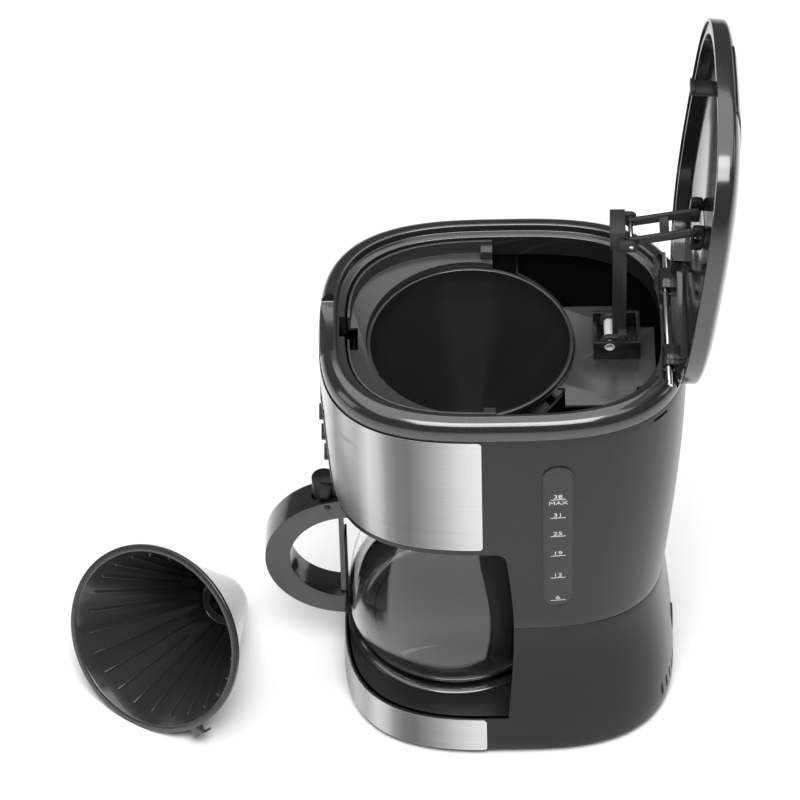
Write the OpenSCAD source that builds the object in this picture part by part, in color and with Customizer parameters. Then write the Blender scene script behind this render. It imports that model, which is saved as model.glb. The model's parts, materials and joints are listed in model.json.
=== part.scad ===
// Drip coffee maker with a flip-up lid, a swing-over spray arm, a glass jug and a filter basket.
// Frame: millimetres, +Z up, front towards -Y, water gauge on the +X side.
// The origin is on the table, below the centre of the top rim.

/* [Body] */
// Height of the body, without the lid
body_h = 332; // [300:2:380]
// Width of the top rim
rim_w = 196; // [180:2:230]
// Depth of the top rim
rim_d = 244; // [225:2:280]
// Width at the waist seam
waist_w = 171; // [165:1:190]
// Depth at the waist seam
waist_d = 217; // [205:1:235]
// Height of the waist seam
waist_z = 115; // [95:1:135]
// Width of the base
base_w = 202; // [190:2:240]
// Depth of the base
base_d = 230; // [218:2:260]
// Wall of the housings
wall = 2.6; // [2:0.1:3.2]
// Squareness of the oval outline, 2 is an ellipse
corner_n = 3; // [2.6:0.1:3.4]
// Height of the top rim ring
rim_h = 14; // [11:1:20]
// Width of the rounded band on the top rim
rim_band = 11.5; // [9:0.5:14]
// Width of the step inside the rim band
ledge_w = 5.5; // [4:0.5:8]

/* [Niche] */
// Height of the deck that the hot plate sits in
deck_z = 34; // [28:1:42]
// Height of the underside of the brew chamber
chamber_z = 200; // [190:1:225]
// Side edge of the niche, front to back
niche_edge_y = 0; // [-8:1:8]
// Distance from the niche back wall to the jug
niche_gap = 5; // [3:0.5:8]

/* [Steel trim] */
// Thickness of the steel skins
skin = 0.8; // [0.5:0.1:1.2]
// Lower edge of the upper steel panel
panel_z = 206; // [200:1:240]
// Rear edge of the upper steel panel
panel_y = -16; // [-40:1:10]
// Rear edge of the base band
band_y = -15; // [-40:1:10]

/* [Controls] */
// Width of the control panel
control_w = 68; // [56:1:80]
// Height of the control panel
control_h = 76; // [66:1:84]
// Button width
button_w = 13; // [9:0.5:16]
// Button height
button_h = 6.5; // [5:0.5:9]
// Travel of a button
button_travel = 1.2; // [0.6:0.1:2]

/* [Water gauge] */
// Width of the gauge window
gauge_w = 19.5; // [12:0.5:24]
// Length of the gauge window
gauge_h = 150; // [110:1:160]
// Middle of the gauge, front to back
gauge_y = 34.5; // [25:0.5:45]
// Lower end of the gauge
gauge_z = 141; // [138:1:150]

/* [Filter basket] */
// Radius of the basket at its rim
basket_r = 65; // [58:1:68]
// Radius of the basket at its small end
basket_end_r = 19; // [14:1:22]
// Depth of the basket
basket_h = 96; // [78:1:100]
// Wall of the basket
basket_wall = 1.8; // [1.4:0.1:2.6]
// Number of ribs inside the basket
rib_count = 24; // [12:2:36]
// Gap between the basket and its holder
basket_gap = 1.2; // [0.8:0.1:2]
// Basket centre, front to back, when it is seated
brew_y = -22; // [-26:1:-18]

/* [Jug] */
// Largest radius of the glass
jug_r = 74; // [66:1:76]
// Height of the glass from the hot plate
jug_h = 128; // [112:1:134]
// Radius of the neck
neck_r = 50; // [44:1:56]
// Radius of the foot of the glass
foot_r = 61; // [52:1:63]
// Thickness of the glass
glass_t = 2.4; // [1.8:0.1:3.2]
// Reach of the handle from the jug axis
handle_reach = 131; // [124:1:140]
// Width of the handle
handle_w = 22; // [18:1:26]
// Thickness of the handle
handle_t = 17; // [13:1:20]

/* [Lid] */
// Angle by which the lid stands open
lid_open = 96.3; // [80:0.1:105]
// Gap between the lid edge and the rim edge, at the sides
lid_inset = 2; // [1:0.5:4]
// Height of the lid's edge band
lid_band = 9; // [7:0.5:12]
// Rise of the crown of the lid
lid_crown = 11; // [8:0.5:14]
// Radius of the hinge rod
hinge_r = 2; // [1.6:0.1:2.6]

/* [Spray arm] */
// Radius of the arm's pivot barrel
barrel_r = 3.5; // [3:0.1:4.5]
// Width of the spray head
head_w = 22; // [18:1:26]
// Radius of the link pins
pin_r = 1.6; // [1.2:0.1:2]

/* [Hidden] */
$fn = 64;

gap = 0.1;            // between pieces of one body
play = 0.05;          // radial clearance of a running fit
big = body_h + 68;     // past every outer face
seg = 56;             // sides of every oval shell
rim_z = body_h - rim_h;
ledge_z = body_h - 5.5;
rim_depth = 22;       // the rim's skirt reaches this far below the top
foot_h = 3;
shell_z = foot_h + 2; // lower edge of the lower housing
deck_t = 2.5;
yc_waist = 0.5;
yc_base = 2;

// Outline of the body at a height: half width, half depth and centre
function blend(lo, hi, t) = lo + (hi - lo) * t;
function up_t(z) = sin(90 * min(1, max(0, (z - waist_z) / (rim_z - waist_z))));
function down_t(z) = (1 - cos(180 * min(1, max(0, (waist_z - z) / waist_z)))) / 2;
function half_w(z) = (z >= waist_z ? blend(waist_w, rim_w, up_t(z)) : blend(waist_w, base_w, down_t(z)))
    / 2;
function half_d(z) = (z >= waist_z ? blend(waist_d, rim_d, up_t(z)) : blend(waist_d, base_d, down_t(z)))
    / 2;
function mid_y(z) = z >= waist_z ? blend(yc_waist, 0, up_t(z)) : blend(yc_waist, yc_base, down_t(z));
function spow(v, p) = sign(v) * pow(abs(v), p);
function oval(a, b, yc = 0) = [for (i = [0 : seg - 1])
    let (t = 360 * i / seg) [a * spow(cos(t), 2 / corner_n), yc + b * spow(sin(t), 2 / corner_n)]];
// Half width of an oval at a distance from its centre, and the same the other way round
function oval_x(a, b, y) = a * pow(max(0, 1 - pow(abs(y) / b, corner_n)), 1 / corner_n);

// Solid through rings of equal length, closed at both ends
module skin_rings(rings) {
    m = len(rings);
    n = len(rings[0]);
    polyhedron(
        points = [for (r = rings) for (p = r) p],
        faces = concat(
            [[for (i = [0 : n - 1]) i]],
            [[for (i = [n - 1 : -1 : 0]) (m - 1) * n + i]],
            [for (k = [0 : m - 2]) for (i = [0 : n - 1])
                let (j = (i + 1) % n) [k * n + i, (k + 1) * n + i, (k + 1) * n + j, k * n + j]]),
        convexity = 8);
}
// Ring through closed cross-sections, joined to itself
module skin_loop(rings) {
    m = len(rings);
    n = len(rings[0]);
    polyhedron(
        points = [for (r = rings) for (p = r) p],
        faces = [for (k = [0 : m - 1]) for (i = [0 : n - 1]) for (half = [0, 1])
            let (j = (i + 1) % n, l = (k + 1) % m)
            half == 0 ? [k * n + i, l * n + j, l * n + i] : [k * n + i, k * n + j, l * n + j]],
        convexity = 8);
}
function ring_at(z, d) = [for (p = oval(half_w(z) - d, half_d(z) - d, mid_y(z))) [p[0], p[1], z]];
// Body outline, shrunk by d, from z0 to z1
module hull_body(z0, z1, d, steps = 4) {
    skin_rings([for (k = [0 : steps]) ring_at(blend(z0, z1, k / steps), d)]);
}
// Outer and inner forms of the two housings; every skin and liner is cut from these
module lower_form(d = 0) {
    hull_body(shell_z, waist_z - gap, d, 5);
}
module upper_form(d = 0) {
    hull_body(waist_z + gap, rim_z - gap, d, 6);
}
module lower_inner(d = 0) {
    hull_body(deck_z, waist_z + 1, wall + d, 4);
}
module upper_inner(d = 0) {
    hull_body(waist_z - 1, rim_z + 1, wall + d, 6);
}
// A rounded rectangle in Y and Z, pushed through along X
module side_prism(y0, y1, z0, z1, r, x0 = -big, x1 = big) {
    translate([x0, 0, 0]) rotate([90, 0, 90]) linear_extrude(x1 - x0) union() {
        translate([y0 + r, z0]) square([y1 - y0 - 2 * r, z1 - z0]);
        translate([y0, z0 + r]) square([y1 - y0, z1 - z0 - 2 * r]);
        for (y = [y0 + r, y1 - r], z = [z0 + r, z1 - r]) translate([y, z]) circle(r);
    }
}
// A rounded rectangle in X and Z, pushed through along Y
module front_prism(w, z0, z1, r, y0, y1, x = 0) {
    translate([x, y1, 0]) rotate([90, 0, 0]) linear_extrude(y1 - y0) union() {
        translate([-w / 2 + r, z0]) square([w - 2 * r, z1 - z0]);
        translate([-w / 2, z0 + r]) square([w, z1 - z0 - 2 * r]);
        for (sx = [-1, 1], z = [z0 + r, z1 - r]) translate([sx * (w / 2 - r), z]) circle(r);
    }
}
module rod_x(r, x0, x1, y, z) {
    translate([x0, y, z]) rotate([0, 90, 0]) cylinder(h = x1 - x0, r = r);
}
module block(x0, x1, y0, y1, z0, z1) {
    translate([x0, y0, z0]) cube([x1 - x0, y1 - y0, z1 - z0]);
}

// ---- Places that several pieces share ----
jug_y = -35;
plate_z = deck_z + 4;                   // top of the hot plate
plate_r = foot_r + 5;
niche_r = jug_r + niche_gap;
niche_bow = 4.5;
liner_t = 2.5;
tank_z = 128;                           // underside of the tank
tank_top = rim_z - 16;
bridge_z = body_h - 28;
bridge_t = 2.5;
ring_z = body_h - 22;                   // top of the funnel ring
funnel_wall = 2.4;
funnel_r = basket_r + basket_gap + funnel_wall + 0.6;
funnel_foot_z = chamber_z - 2;
drain_r = 11;
pin_y = rim_d / 2 - 13.5;               // hinge rod of the lid
pin_z = body_h - 3.5;
notch_w = 52;                           // finger notch in the front of the rim
tail_w = 114;                           // recess for the lid's tail
control_z = panel_z;
display_w = 30;
display_z0 = control_z + 24;
display_z1 = control_z + 58;
button_gap = 0.35;
barrel = [70.5, body_h - 14];           // pivot of the spray arm, as y and z
head_pin = [84, body_h + 80];           // pivot between arm and link
lid_pin = [127, body_h + 88];           // far end of the link
under_plate = deck_z - 4;               // underside of the hot plate
heater_r = 6;
heater_z = under_plate - heater_r - gap;
surround_r = plate_r + 9.5;
gland_z = 26;
gland_r = 7;
gland_flange_r = 9.5;
flange_in = 1.4;                        // depth of the gland's flange in the wall
gland_y = mid_y(gland_z) + half_d(gland_z);
hose_r = 6.5;
hose_bore = 4.5;
bend_r = 12;
hose_run = 14;                          // straight end of a hose, over the heater's tube
valve_z = 62;                           // underside of the check valve
inlet_at = [-34, 72];
riser_at = [0, 80];
riser_r = 5;
glass_z = plate_z + 0.4;                // the foot of the glass
collar_z = glass_z + jug_h;             // top of the glass

// ---- Housings ----
// The gap in front of the niche edge, from deck to brew chamber
module niche_cut() {
    steps = 12;
    round_top = 9;
    outline = concat([[-big, deck_z], [-big, chamber_z], [niche_edge_y - round_top, chamber_z]],
        [for (k = [1 : 5]) [niche_edge_y - round_top + round_top * sin(18 * k),
            chamber_z - round_top + round_top * cos(18 * k)]],
        [for (k = [1 : steps]) let (t = k / steps)
            [niche_edge_y + niche_bow * sin(180 * t), blend(chamber_z - round_top, deck_z, t)]]);
    translate([-big, 0, 0]) rotate([90, 0, 90]) linear_extrude(2 * big) polygon(outline);
}
module gauge_slot(grow = 0) {
    side_prism(gauge_y - gauge_w / 2 - grow, gauge_y + gauge_w / 2 + grow, gauge_z - grow,
        gauge_z + gauge_h + grow, gauge_w / 2 + grow - 0.01, 10, big);
}
module lower_housing() {
    color([0.14, 0.14, 0.15]) difference() {
        lower_form();
        hull_body(shell_z - 1, deck_z - deck_t, wall, 2);
        lower_inner();
        niche_cut();
        translate([0, jug_y, deck_z - 10]) cylinder(h = 20, r = surround_r + gap);
        for (p = [inlet_at, riser_at]) translate([p[0], p[1], deck_z - 10]) cylinder(h = 20,
            r = hose_r + 1.5);
        // vents and the opening for the cord gland, at the back
        for (x = [-60 : 8 : 60]) if (abs(x) > 20) front_prism(3, 12, 24, 1.4, 80, big, x);
        translate([0, big, gland_z]) rotate([90, 0, 0]) cylinder(h = big - 80, r = gland_r + gap);
        translate([0, big, gland_z]) rotate([90, 0, 0]) cylinder(h = big - gland_y + flange_in + gap,
            r = gland_flange_r + gap);
    }
}
module upper_housing() {
    color([0.14, 0.14, 0.15]) difference() {
        upper_form();
        upper_inner();
        niche_cut();
        gauge_slot(0.2);
        for (s = [-1, 1]) block(s > 0 ? 30 : -big, s > 0 ? big : -30, 98, 107, rim_z - 7, rim_z - 4);
        button_cuts(button_gap);
        display_cut(0.2);
    }
}
module niche_liner() {
    color([0.07, 0.07, 0.08]) difference() {
        intersection() {
            union() {
                translate([0, jug_y, deck_z + gap]) cylinder(h = chamber_z - deck_z - 2 * gap,
                    r = niche_r + liner_t, $fn = 96);
                block(-big, big, niche_edge_y + niche_bow + gap, niche_edge_y + niche_bow + 3, deck_z +
                    gap, chamber_z - gap);
            }
            block(-big, big, niche_edge_y + niche_bow + gap, big, 0, big);
            union() {
                lower_inner(gap);
                upper_inner(gap);
            }
        }
        translate([0, jug_y, deck_z - 1]) cylinder(h = chamber_z, r = niche_r, $fn = 96);
    }
}
module chamber_floor() {
    floor_t = 3;
    color([0.1, 0.1, 0.11]) difference() {
        union() {
            translate([0, 0, chamber_z + gap]) linear_extrude(floor_t)
                polygon(oval(half_w(chamber_z) - wall - 1, half_d(chamber_z) - wall - 1));
            translate([0, jug_y, chamber_z - 5]) cylinder(h = 6, r = niche_r - 1, $fn = 96);
        }
        block(-big, big, niche_edge_y + niche_bow, big, 0, big);
        translate([0, brew_y, chamber_z - 20]) cylinder(h = 60, r = basket_end_r + 8.5);
    }
}
module top_rim() {
    prof = [[0, rim_z], [0, body_h - 6], [0.5, body_h - 3.6], [1.6, body_h - 1.6], [3.6, body_h - 0.4],
        [5.5, body_h],
        [rim_band - 1.5, body_h], [rim_band, body_h - 1.2], [rim_band, ledge_z],
        [rim_band + ledge_w, ledge_z], [rim_band + ledge_w + 0.6, body_h - rim_depth],
        [rim_band + ledge_w - 2, body_h - rim_depth], [rim_band + ledge_w - 2.6, rim_z]];
    a = rim_w / 2;
    b = rim_d / 2;
    color([0.12, 0.12, 0.13]) difference() {
        skin_loop([for (i = [0 : seg - 1]) let (t = 360 * i / seg, c = spow(cos(t), 2 / corner_n),
            s = spow(sin(t), 2 / corner_n))
            [for (q = prof) [(a - q[0]) * c, (b - q[0]) * s, q[1]]]]);
        // finger notch at the front, tail recess at the back and the slot for the catch
        block(-notch_w / 2, notch_w / 2, -big, -b + rim_band - 2, body_h - 8, body_h + 5);
        block(-tail_w / 2, tail_w / 2, pin_y - 7, big, body_h - 10.5, body_h + 5);
        block(-9, 9, -b + rim_band + 1.5, -b + rim_band + ledge_w + 3, body_h - rim_depth - 1, body_h + 1);
        rod_x(hinge_r, -tail_w / 2 - 4, tail_w / 2 + 4, pin_y, pin_z);
    }
}

// ---- Steel, panel and gauge ----
module upper_steel_panel() {
    color([0.62, 0.62, 0.63]) difference() {
        intersection() {
            upper_form(-skin);
            side_prism(-big, panel_y, panel_z, rim_z - 1, 6);
        }
        upper_form(-0.02);
        front_prism(control_w + 2 * gap, -50, control_z + control_h + gap, 6, -big, 0);
    }
}
module base_steel_band() {
    color([0.66, 0.66, 0.67]) intersection() {
        difference() {
            lower_form(-skin);
            lower_form(-0.02);
        }
        side_prism(-big, band_y, shell_z, deck_z - 0.5, 3);
    }
}
module button_cuts(grow) {
    for (k = [0 : 5]) front_prism(button_w + 2 * grow, button_z(k) - button_h / 2 - grow, button_z(k) +
        button_h / 2 + grow,
        button_h / 2 + grow - 0.01, -big, -60, button_x(k));
}
board_y = mid_y(control_z) - half_d(control_z) + 16;
switch_t = 3;
function button_x(k) = (k % 2 == 0 ? -1 : 1) * 24;
function button_z(k) = control_z + 64 - 20 * floor(k / 2);
module display_cut(grow) {
    front_prism(display_w + 2 * grow, display_z0 - grow, display_z1 + grow, 2 + grow, -big, -60);
}
module control_panel() {
    color([0.04, 0.04, 0.045]) difference() {
        intersection() {
            difference() {
                upper_form(-1.6);
                upper_form(-0.02);
            }
            front_prism(control_w, control_z, control_z + control_h, 6, -big, 0);
        }
        button_cuts(button_gap);
        display_cut(0);
    }
}
module display_window() {
    color([0.1, 0.14, 0.16]) intersection() {
        difference() {
            upper_form(-1.3);
            upper_form(1.2);
        }
        display_cut(-gap);
    }
}
module button(k) {
    x = button_x(k);
    z = button_z(k);
    y = mid_y(z) - half_d(z) - 2.6;
    stem_end = board_y - switch_t - button_travel - 0.2;
    color([0.2, 0.2, 0.21]) union() {
        front_prism(button_w, z - button_h / 2, z + button_h / 2, button_h / 2 - 0.01, y, y + 11, x);
        front_prism(button_w + 3, z - button_h / 2 - 1.5, z + button_h / 2 + 1.5, 1, y + 9, y + 11, x);
        front_prism(4, z - 2, z + 2, 1, y + 10, stem_end, x);
    }
}
module gauge_window() {
    color([0.35, 0.36, 0.37, 0.6]) intersection() {
        difference() {
            upper_form(-0.6);
            upper_form(wall - 0.2);
        }
        gauge_slot(0);
    }
}

// ---- Tank, funnel and bridge ----
module water_tank() {
    tank_wall = 2;
    front = niche_edge_y + niche_bow + 5;
    module outer(d, z0) {
        difference() {
            hull_body(z0, tank_top, wall + 0.8 + d, 3);
            block(-big, big, -big, front + d, 0, big);
            translate([0, jug_y, 0]) cylinder(h = big, r = niche_r + liner_t + 1.5 + d, $fn = 96);
        }
    }
    color([0.03, 0.03, 0.035]) difference() {
        union() {
            outer(0, tank_z);
            translate([inlet_at[0], inlet_at[1], tank_z - 12]) cylinder(h = 13, r = hose_bore - play);
        }
        intersection() {
            outer(tank_wall, tank_z);
            block(-big, big, -big, big, tank_z + 2.5, big);
        }
        translate([inlet_at[0], inlet_at[1], tank_z - 20]) cylinder(h = 40, r = 3);
        translate([riser_at[0], riser_at[1], tank_z - 20]) cylinder(h = 40, r = 5 + gap);
    }
}
deck_wall = 1.8;
deck_end_x = 71;
module brew_deck() {
    a = rim_w / 2 - rim_band - ledge_w - 1.2;
    b = rim_d / 2 - rim_band - ledge_w - 1.2;
    z = body_h - 20;
    color([0.09, 0.09, 0.1]) difference() {
        union() {
            translate([0, 0, z]) linear_extrude(2.5) polygon(oval(a, b));
            translate([0, brew_y, ring_z - 4]) cylinder(h = z - ring_z + 5, r = funnel_r + 2.6, $fn = 96);
            // low wall that lines the inside of the rim
            difference() {
                translate([0, 0, z]) linear_extrude(ledge_z - z - 1.2) polygon(oval(a, b));
                translate([0, 0, z - 1]) linear_extrude(20) polygon(oval(a - deck_wall, b - deck_wall));
            }
            for (s = [-1, 1]) block(s > 0 ? deck_end_x : -deck_end_x - 8, s > 0 ? deck_end_x +
                8 : -deck_end_x, -14, -6, z, z + 10);
        }
        block(-big, big, -6, big, 0, big);
        translate([0, brew_y, z - 10]) cylinder(h = 20, r = funnel_r + gap, $fn = 96);
        block(-10, 10, -big, -b + 7, z - 1, body_h);
    }
}
module brew_funnel() {
    end_r = basket_end_r + basket_gap + 0.8;
    cone_z = ring_z - basket_h;
    color([0.08, 0.08, 0.09]) translate([0, brew_y, 0]) difference() {
        rotate_extrude($fn = 96) polygon([
            [end_r + 5, funnel_foot_z], [end_r + 5, cone_z - 4],
            [basket_r + basket_gap + funnel_wall, ring_z - 3], [funnel_r, ring_z - 3], [funnel_r, ring_z],
            [basket_r + basket_gap, ring_z], [basket_r + basket_gap, ring_z - 2],
            [end_r, cone_z - 1], [drain_r, cone_z - 3], [drain_r, cone_z - 6], [end_r + 2, cone_z - 6],
            [end_r + 2, funnel_foot_z]]);
        // notch that keys the basket's tab
        rotate([0, 0, 30]) block(-6, 6, -big, -basket_r + 1, ring_z - 5, ring_z + 1);
    }
}
module funnel_bridge() {
    y1 = rim_d / 2 - rim_band - ledge_w - 4;
    color([0.11, 0.11, 0.12]) difference() {
        translate([0, 0, bridge_z]) linear_extrude(bridge_t) difference() {
            union() {
                translate([-34, brew_y + 40]) square([74, y1 - brew_y - 62]);
                translate([-14, 60]) square([54, y1 - 60]);
                translate([22, 40]) square([34, 32]);
                translate([40, 72]) circle(16);
                translate([-34, 40]) square([24, 20]);
                translate([-18, 60]) circle(16);
            }
            translate([0, brew_y]) circle(r = funnel_r - 2, $fn = 96);
            translate([riser_at[0], riser_at[1]]) circle(r = riser_r + gap);
        }
        translate([0, brew_y, 0]) cylinder(h = big, r = funnel_r + 0.3, $fn = 96);
    }
}
module arm_cradle() {
    z0 = bridge_z + bridge_t + gap;
    top = body_h - 10;
    color([0.09, 0.09, 0.1]) difference() {
        block(-15, 15, 60, 91, z0, top);
        block(-12.5, 12.5, 62.5, 88.5, z0 + 2, top + 1);
        block(-12.5, 12.5, 55, 70, z0 + 7, top + 1);
        rod_x(barrel_r, -20, 20, barrel[0], barrel[1]);
        translate([riser_at[0], riser_at[1], z0 - 5]) cylinder(h = 20, r = 5 + gap);
    }
}
module pivot_barrel() {
    color([0.75, 0.75, 0.74]) difference() {
        rod_x(barrel_r, -15, 15, barrel[0], barrel[1]);
        rod_x(barrel_r - 1.2, -16, 16, barrel[0], barrel[1]);
    }
}
module riser_pipe() {
    color([0.2, 0.2, 0.21]) translate([riser_at[0], riser_at[1], 0]) difference() {
        union() {
            translate([0, 0, tank_z - 14]) cylinder(h = bridge_z + 5 - tank_z + 14, r = 5);
            translate([0, 0, tank_z + 2.5 + gap]) cylinder(h = 4, r = 8);
        }
        translate([0, 0, tank_z - 15]) cylinder(h = 220, r = 3.2);
    }
}
module lid_hinge_rod() {
    color([0.7, 0.7, 0.7]) rod_x(hinge_r, -tail_w / 2 - 3.5, tail_w / 2 + 3.5, pin_y, pin_z);
}

// ---- Base ----
module base_plate() {
    d = wall + 1;
    color([0.1, 0.1, 0.1]) difference() {
        translate([0, 0, shell_z]) linear_extrude(2.4)
            polygon(oval(half_w(shell_z) - d, half_d(shell_z) - d, mid_y(shell_z)));
        for (sx = [-1, 1], sy = [-1, 1]) translate([sx * 66, yc_base + sy * 78, 0]) cylinder(h = 20,
            r = 2.6);
        for (sx = [-1, 1], sy = [-1, 1]) translate([sx * 50, yc_base + sy * 88, 0]) cylinder(h = 20,
            r = 1.9);
        for (y = [-36 : 9 : 36]) block(-18, 18, y, y + 3, 0, 20);
    }
}
module rubber_feet() {
    color([0.05, 0.05, 0.05]) for (sx = [-1, 1], sy = [-1, 1]) translate([sx * 66, yc_base + sy * 78, 0]) {
        cylinder(h = shell_z - gap, r = 9);
        cylinder(h = shell_z + 4, r = 2.5);
    }
}
module base_screws() {
    color([0.6, 0.6, 0.6]) for (sx = [-1, 1], sy = [-1, 1]) translate([sx * 50, yc_base + sy * 88, 0])
        difference() {
        union() {
            translate([0, 0, shell_z - 2.2]) cylinder(h = 2.1, r = 3.4);
            translate([0, 0, shell_z - 1]) cylinder(h = 14, r = 1.8);
        }
        for (a = [0, 90]) rotate([0, 0, a]) block(-2, 2, -0.4, 0.4, shell_z - 3, shell_z - 1.2);
    }
}
module hot_plate() {
    color([0.08, 0.08, 0.08]) translate([0, jug_y, 0]) rotate_extrude($fn = 96) polygon([
        [0, under_plate], [plate_r - 1.5, under_plate], [plate_r - 1.5, deck_z - 1], [plate_r, deck_z],
        [plate_r, plate_z - 1], [plate_r - 1, plate_z], [0, plate_z]]);
}
module hot_plate_ring() {
    r0 = plate_r + 0.6;
    r1 = surround_r;
    color([0.13, 0.13, 0.14]) translate([0, jug_y, 0]) rotate_extrude($fn = 96) polygon([
        [r0, under_plate], [r1 - gap, under_plate], [r1 - gap, deck_z + 0.6], [r1 - 1.5, deck_z + 1.6],
        [r0 + 4, deck_z + 2.4], [r0, deck_z + 1]]);
}
module heater_tube() {
    ring_r = 38;
    start = 90 + asin(-inlet_at[0] / ring_r);
    color([0.7, 0.7, 0.7]) {
        translate([0, jug_y, heater_z]) rotate([0, 0, start]) rotate_extrude(angle = 450 - start)
            translate([ring_r, 0]) circle(r = heater_r);
        // two straight ends, one in each hose
        for (end = [[inlet_at, hose_bore - play, ring_r * sin(start)], [riser_at, riser_r, ring_r - 3]])
            translate([end[0][0], jug_y + end[2], heater_z]) rotate([-90, 0, 0])
                cylinder(h = end[0][1] - bend_r - 2 - jug_y - end[2], r = end[1]);
    }
}
module thermostat() {
    color([0.75, 0.72, 0.65]) translate([14, jug_y, under_plate - gap - 14]) {
        cylinder(h = 6.5, r = 5);
        translate([0, 0, 6]) cylinder(h = 8, r = 8);
        for (s = [-1, 1]) block(s * 4 - 1, s * 4 + 1, -12, 0, 2, 3);
    }
}
module thermal_fuse() {
    color([0.75, 0.7, 0.5]) translate([-12, jug_y, 0]) rotate([0, 0, 90]) {
        rod_x(3, -9, 9, 0, under_plate - gap - 3);
        rod_x(1, -18, 18, 0, under_plate - gap - 3);
    }
}
module check_valve() {
    color([0.85, 0.85, 0.83]) translate([inlet_at[0], inlet_at[1], valve_z]) difference() {
        union() {
            cylinder(h = 10, r = 8);
            translate([0, 0, -12]) cylinder(h = 34, r = hose_bore - play);
        }
        translate([0, 0, -13]) cylinder(h = 36, r = 2.6);
    }
}
// Hose line: down from a height, round a quarter turn and forward to the heater
module hose(p, top, rad) {
    translate([p[0], p[1], heater_z + bend_r]) cylinder(h = top - heater_z - bend_r, r = rad);
    translate([p[0], p[1] - bend_r, heater_z + bend_r]) rotate([0, 90, 0])
        rotate_extrude(angle = 90) translate([bend_r, 0]) circle(r = rad);
    translate([p[0], p[1] - bend_r, heater_z]) rotate([90, 0, 0]) cylinder(h = hose_run, r = rad);
}
module hose_core(p, top, rad) {
    hose(p, top, rad);
    translate([p[0], p[1] - bend_r, heater_z]) rotate([90, 0, 0]) cylinder(h = hose_run + 1, r = rad);
}
module inlet_hose() {
    color([0.8, 0.8, 0.78]) difference() {
        union() {
            translate([inlet_at[0], inlet_at[1], valve_z + 10 + gap])
                cylinder(h = tank_z - valve_z - 10 - 2 * gap, r = hose_r);
            hose(inlet_at, valve_z - gap, hose_r);
        }
        translate([inlet_at[0], inlet_at[1], valve_z + 10]) cylinder(h = 80, r = hose_bore);
        hose_core(inlet_at, valve_z + 1, hose_bore);
    }
}
module riser_hose() {
    color([0.8, 0.8, 0.78]) difference() {
        hose(riser_at, tank_z - 2, hose_r + 0.6);
        hose_core(riser_at, tank_z, riser_r + play);
    }
}
module hose_clamps() {
    color([0.72, 0.72, 0.7]) {
        for (z = [tank_z - 9, 76, 54]) translate([inlet_at[0], inlet_at[1], z]) clamp_ring(hose_r);
        translate([riser_at[0], riser_at[1], tank_z - 11]) clamp_ring(hose_r + 0.6);
    }
}
module clamp_ring(r) {
    difference() {
        union() {
            cylinder(h = 5, r = r + 1);
            block(r - 1, r + 5, -2, 2, 0, 5);
        }
        translate([0, 0, -1]) cylinder(h = 7, r = r + 0.02);
    }
}
module control_board() {
    color([0.1, 0.3, 0.18]) {
        block(-34, 34, board_y, board_y + 1.6, control_z + 4, control_z + control_h - 3);
        for (k = [0 : 5]) front_prism(5, button_z(k) - 2.5, button_z(k) + 2.5, 0.5, board_y - switch_t,
            board_y, button_x(k));
    }
}
module cord_gland() {
    color([0.06, 0.06, 0.06]) translate([0, gland_y + 0.4, gland_z]) rotate([90, 0, 0]) difference() {
        union() {
            cylinder(h = flange_in + 0.4, r = gland_flange_r);
            cylinder(h = 12, r = gland_r);
        }
        translate([0, 0, -1]) cylinder(h = 20, r = 3.4);
    }
}

// ---- Lid, drawn closed and then swung open about its rod ----
lid_a = rim_w / 2 - lid_inset;
lid_b = rim_d / 2 - 6.4;
lid_yc = -3;
lid_z = body_h + 0.3;
lid_t = 2.2;
liner_z = lid_z + lid_band - 0.2;       // ceiling inside the lid
liner_top_t = 1.3;
plate_half_w = 30;
module swung() {
    translate([0, pin_y, pin_z]) rotate([-lid_open, 0, 0]) translate([0, -pin_y, -pin_z]) children();
}
function swing(p) = let (dy = p[0] - pin_y, dz = p[1] - pin_z)
    [pin_y + dy * cos(lid_open) - dz * sin(lid_open), pin_z + dy * sin(lid_open) + dz * cos(lid_open)];
lid_pin_shut = swing(lid_pin);
module crown(d, drop) {
    steps = 5;
    rings = concat(
        [[for (p = oval(lid_a - d, lid_b - d, lid_yc)) [p[0], p[1], lid_z - (d > 0 ? 1 : 0)]]],
        [for (k = [0 : steps]) let (t = 84 * k / steps, c = pow(cos(t), 0.6))
            [for (p = oval((lid_a - d) * c, (lid_b - d) * c, lid_yc)) [p[0], p[1], lid_z + lid_band -
                drop + lid_crown * sin(t)]]]);
    skin_rings(rings);
}
module lid_shell() {
    color([0.13, 0.13, 0.14]) swung() difference() {
        union() {
            difference() {
                crown(0, 0);
                crown(lid_t, lid_t);
            }
            for (s = [-1, 1]) {
                rod_x(4, s * 35 - 9, s * 35 + 9, pin_y, pin_z);
                block(s * 35 - 9, s * 35 + 9, pin_y - 4, pin_y + 3.6, pin_z, lid_z + 4);
            }
        }
        rod_x(hinge_r + play, -60, 60, pin_y, pin_z);
    }
}
module lid_liner() {
    a = lid_a - lid_t - 0.4;
    b = lid_b - lid_t - 0.4;
    color([0.2, 0.2, 0.21]) swung() difference() {
        union() {
            translate([0, 0, lid_z + 1]) linear_extrude(lid_band - lid_t - 1.2) polygon(oval(a, b, lid_yc));
            translate([0, 0, lid_z + 4]) linear_extrude(liner_z + liner_top_t - lid_z - 4)
                polygon(oval(a - 4.8, b - 4.8, lid_yc));
        }
        translate([0, 0, lid_z]) linear_extrude(liner_z - lid_z) polygon(oval(a - 6.3, b - 6.3, lid_yc));
        block(-50, 50, pin_y - 10, big, 0, big);
    }
}
lug_x = 10.6;
lug_t = 4.6;
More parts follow.
